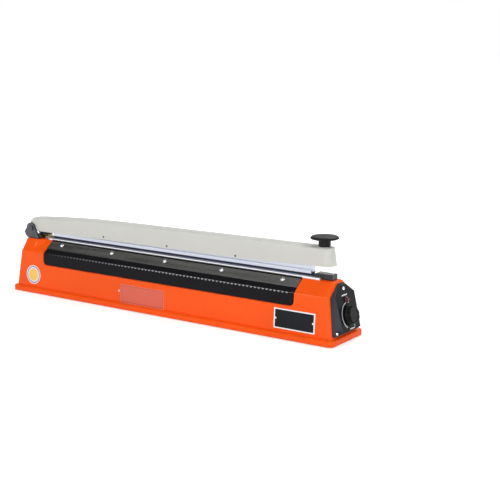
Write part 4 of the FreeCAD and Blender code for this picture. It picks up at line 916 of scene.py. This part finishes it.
def dressed_screws(node, slot, look, out, head, dome):
    """Heads with cross recesses in place of a group of plain screws."""
    out = Vector(out).normalized()
    turn = out.to_track_quat("Z", "Y").to_matrix().to_4x4()
    head_mesh = screw_head_mesh(node, head, dome)
    joined = bmesh.new()
    for group in islands(node):
        top = max(point.dot(out) for point in group)
        middle = sum(group, Vector()) / len(group)
        seat = middle + out * (top - dome * MM - middle.dot(out))
        spin = Matrix.Rotation(random.uniform(0.0, math.pi / 2), 4, "Z")
        single = head_mesh.copy()
        single.transform(Matrix.Translation(seat) @ turn @ spin)
        joined.from_mesh(single)
        bpy.data.meshes.remove(single)
    bpy.data.meshes.remove(head_mesh)
    thing = piece(node + "_heads", mesh_from(node + "_heads", joined), look, "base")
    thing.data.set_sharp_from_angle(angle=CREASE)
    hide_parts(node)


# Each with its direction, head radius and height
SCREWS = (
    ("clamp_screws", "stainless", bright, SLOPE_OUT, 3.7, 2.3),
    ("panel_screws", "stainless", bright, PANEL_OUT, 3.2, 1.8),
    ("hinge_screws", "brass", brass, UP, 3.2, 2.0),
    ("terminal_screws", "stainless", bright, UP, 2.4, 1.0),
    ("terminal_cover_screw", "stainless", bright, UP, 2.4, 1.0),
    ("bottom_plate_screws", "stainless", bright, DOWN, 2.6, 1.2),
)
for row in SCREWS:
    dressed_screws(*row)


# Floor, light and camera. The floor glows from FLOOR_LIFT near the part up to 1 far from it.
FLOOR_REACH = 9.0
FLOOR_LIFT = 0.43
FLOOR_NEAR = 0.5
FLOOR_FAR = 1.6
FLOOR_CORNERS = ((-1, -1), (1, -1), (1, 1), (-1, 1))

# Sky brightness by the height of a direction
SKY_STOPS = ((0.28, 1.0), (0.62, 0.09), (0.76, 0.09), (0.90, 0.46))

# Each with its place, target, width and power in watts
SOFTBOXES = (
    ("key", (1.9, -0.7, 1.3), (0.1, 0.0, 0.06), 0.5, 16.0),
    ("front", (0.2, -2.2, 1.0), (0.0, 0.0, 0.06), 0.9, 12.0),
    ("left", (-0.83, -1.35, 1.55), (0.0, 0.0, 0.06), 0.5, 7.0),
    ("top", (0.3, 1.3, 1.8), (0.0, 0.0, 0.09), 1.2, 19.0),
)

# Camera: focal length and picture width in pixels, sensor width in millimetres
FOCAL_PX = 1143.98
PICTURE_PX = 500.0
SENSOR = 36.0
CAMERA_PLACE = (1.1256, -1.4265, 0.4752)
AZIMUTH = math.radians(34.41)
ELEVATION = math.radians(11.66)


def seen_straight(tree):
    """1 for rays from the camera, a mirror or a glass, 0 for the light that falls on things."""
    path = tree.nodes.new("ShaderNodeLightPath")
    mirrored = calculate(tree, "MAXIMUM", path.outputs["Is Glossy Ray"],
                         path.outputs["Is Transmission Ray"])
    return calculate(tree, "MAXIMUM", path.outputs["Is Camera Ray"], mirrored)


def floor_look():
    """White floor that also glows, more so far from the part."""
    mat, tree, bsdf, coords = shader("floor_white", (0.86, 0.86, 0.86), 0.8, gloss=0.1)
    shade = mottled(tree, noise(tree, coords, FLOOR_CLOUD), (0.85, 0.85, 0.85), (0.87, 0.87, 0.87))
    tree.links.new(shade, bsdf.inputs["Base Color"])
    bsdf.inputs["Emission Color"].default_value = (1.0, 1.0, 1.0, 1.0)
    lift = spread(tree, measured(tree, coords, "LENGTH"), FLOOR_LIFT, 1.0, FLOOR_NEAR, FLOOR_FAR)
    glow = calculate(tree, "MULTIPLY", seen_straight(tree), lift)
    tree.links.new(glow, bsdf.inputs["Emission Strength"])
    return mat


def softbox(name, place, target, size, power):
    """A square area light aimed at a point."""
    light = bpy.data.lights.new(name, "AREA")
    light.shape = "SQUARE"
    light.size = size
    light.energy = power
    thing = bpy.data.objects.new(name, light)
    thing.location = place
    aim = Vector(target) - Vector(place)
    thing.rotation_euler = aim.to_track_quat("-Z", "Y").to_euler()
    bpy.context.scene.collection.objects.link(thing)


floor_mesh = bpy.data.meshes.new("floor")
floor_mesh.from_pydata([(x * FLOOR_REACH, y * FLOOR_REACH, 0) for x, y in FLOOR_CORNERS], [],
                       [(0, 1, 2, 3)])
floor = bpy.data.objects.new("floor", floor_mesh)
bpy.context.scene.collection.objects.link(floor)
floor_mesh.materials.append(floor_look())

world = bpy.data.worlds.new("studio")
bpy.context.scene.world = world
world.use_nodes = True
sky = world.node_tree
direction = sky.nodes.new("ShaderNodeTexCoord")
split = sky.nodes.new("ShaderNodeSeparateXYZ")
sky.links.new(direction.outputs["Generated"], split.inputs["Vector"])
sky_shade = ramp(sky, split.outputs["Z"], [(place, (level,) * 3) for place, level in SKY_STOPS])
sky.links.new(sky_shade, sky.nodes["Background"].inputs["Color"])
sky.nodes["Background"].inputs["Strength"].default_value = 1.0
for row in SOFTBOXES:
    softbox(*row)

camera_data = bpy.data.cameras.new("camera")
camera_data.sensor_fit = "HORIZONTAL"
camera_data.sensor_width = SENSOR
camera_data.lens = FOCAL_PX / PICTURE_PX * SENSOR
camera = bpy.data.objects.new("camera", camera_data)
back = Vector((math.sin(AZIMUTH) * math.cos(ELEVATION), -math.cos(AZIMUTH) * math.cos(ELEVATION),
               math.sin(ELEVATION)))
camera.location = CAMERA_PLACE
camera.rotation_euler = (-back).to_track_quat("-Z", "Y").to_euler()
bpy.context.scene.collection.objects.link(camera)
bpy.context.scene.camera = camera
bpy.context.scene.view_settings.view_transform = "Standard"
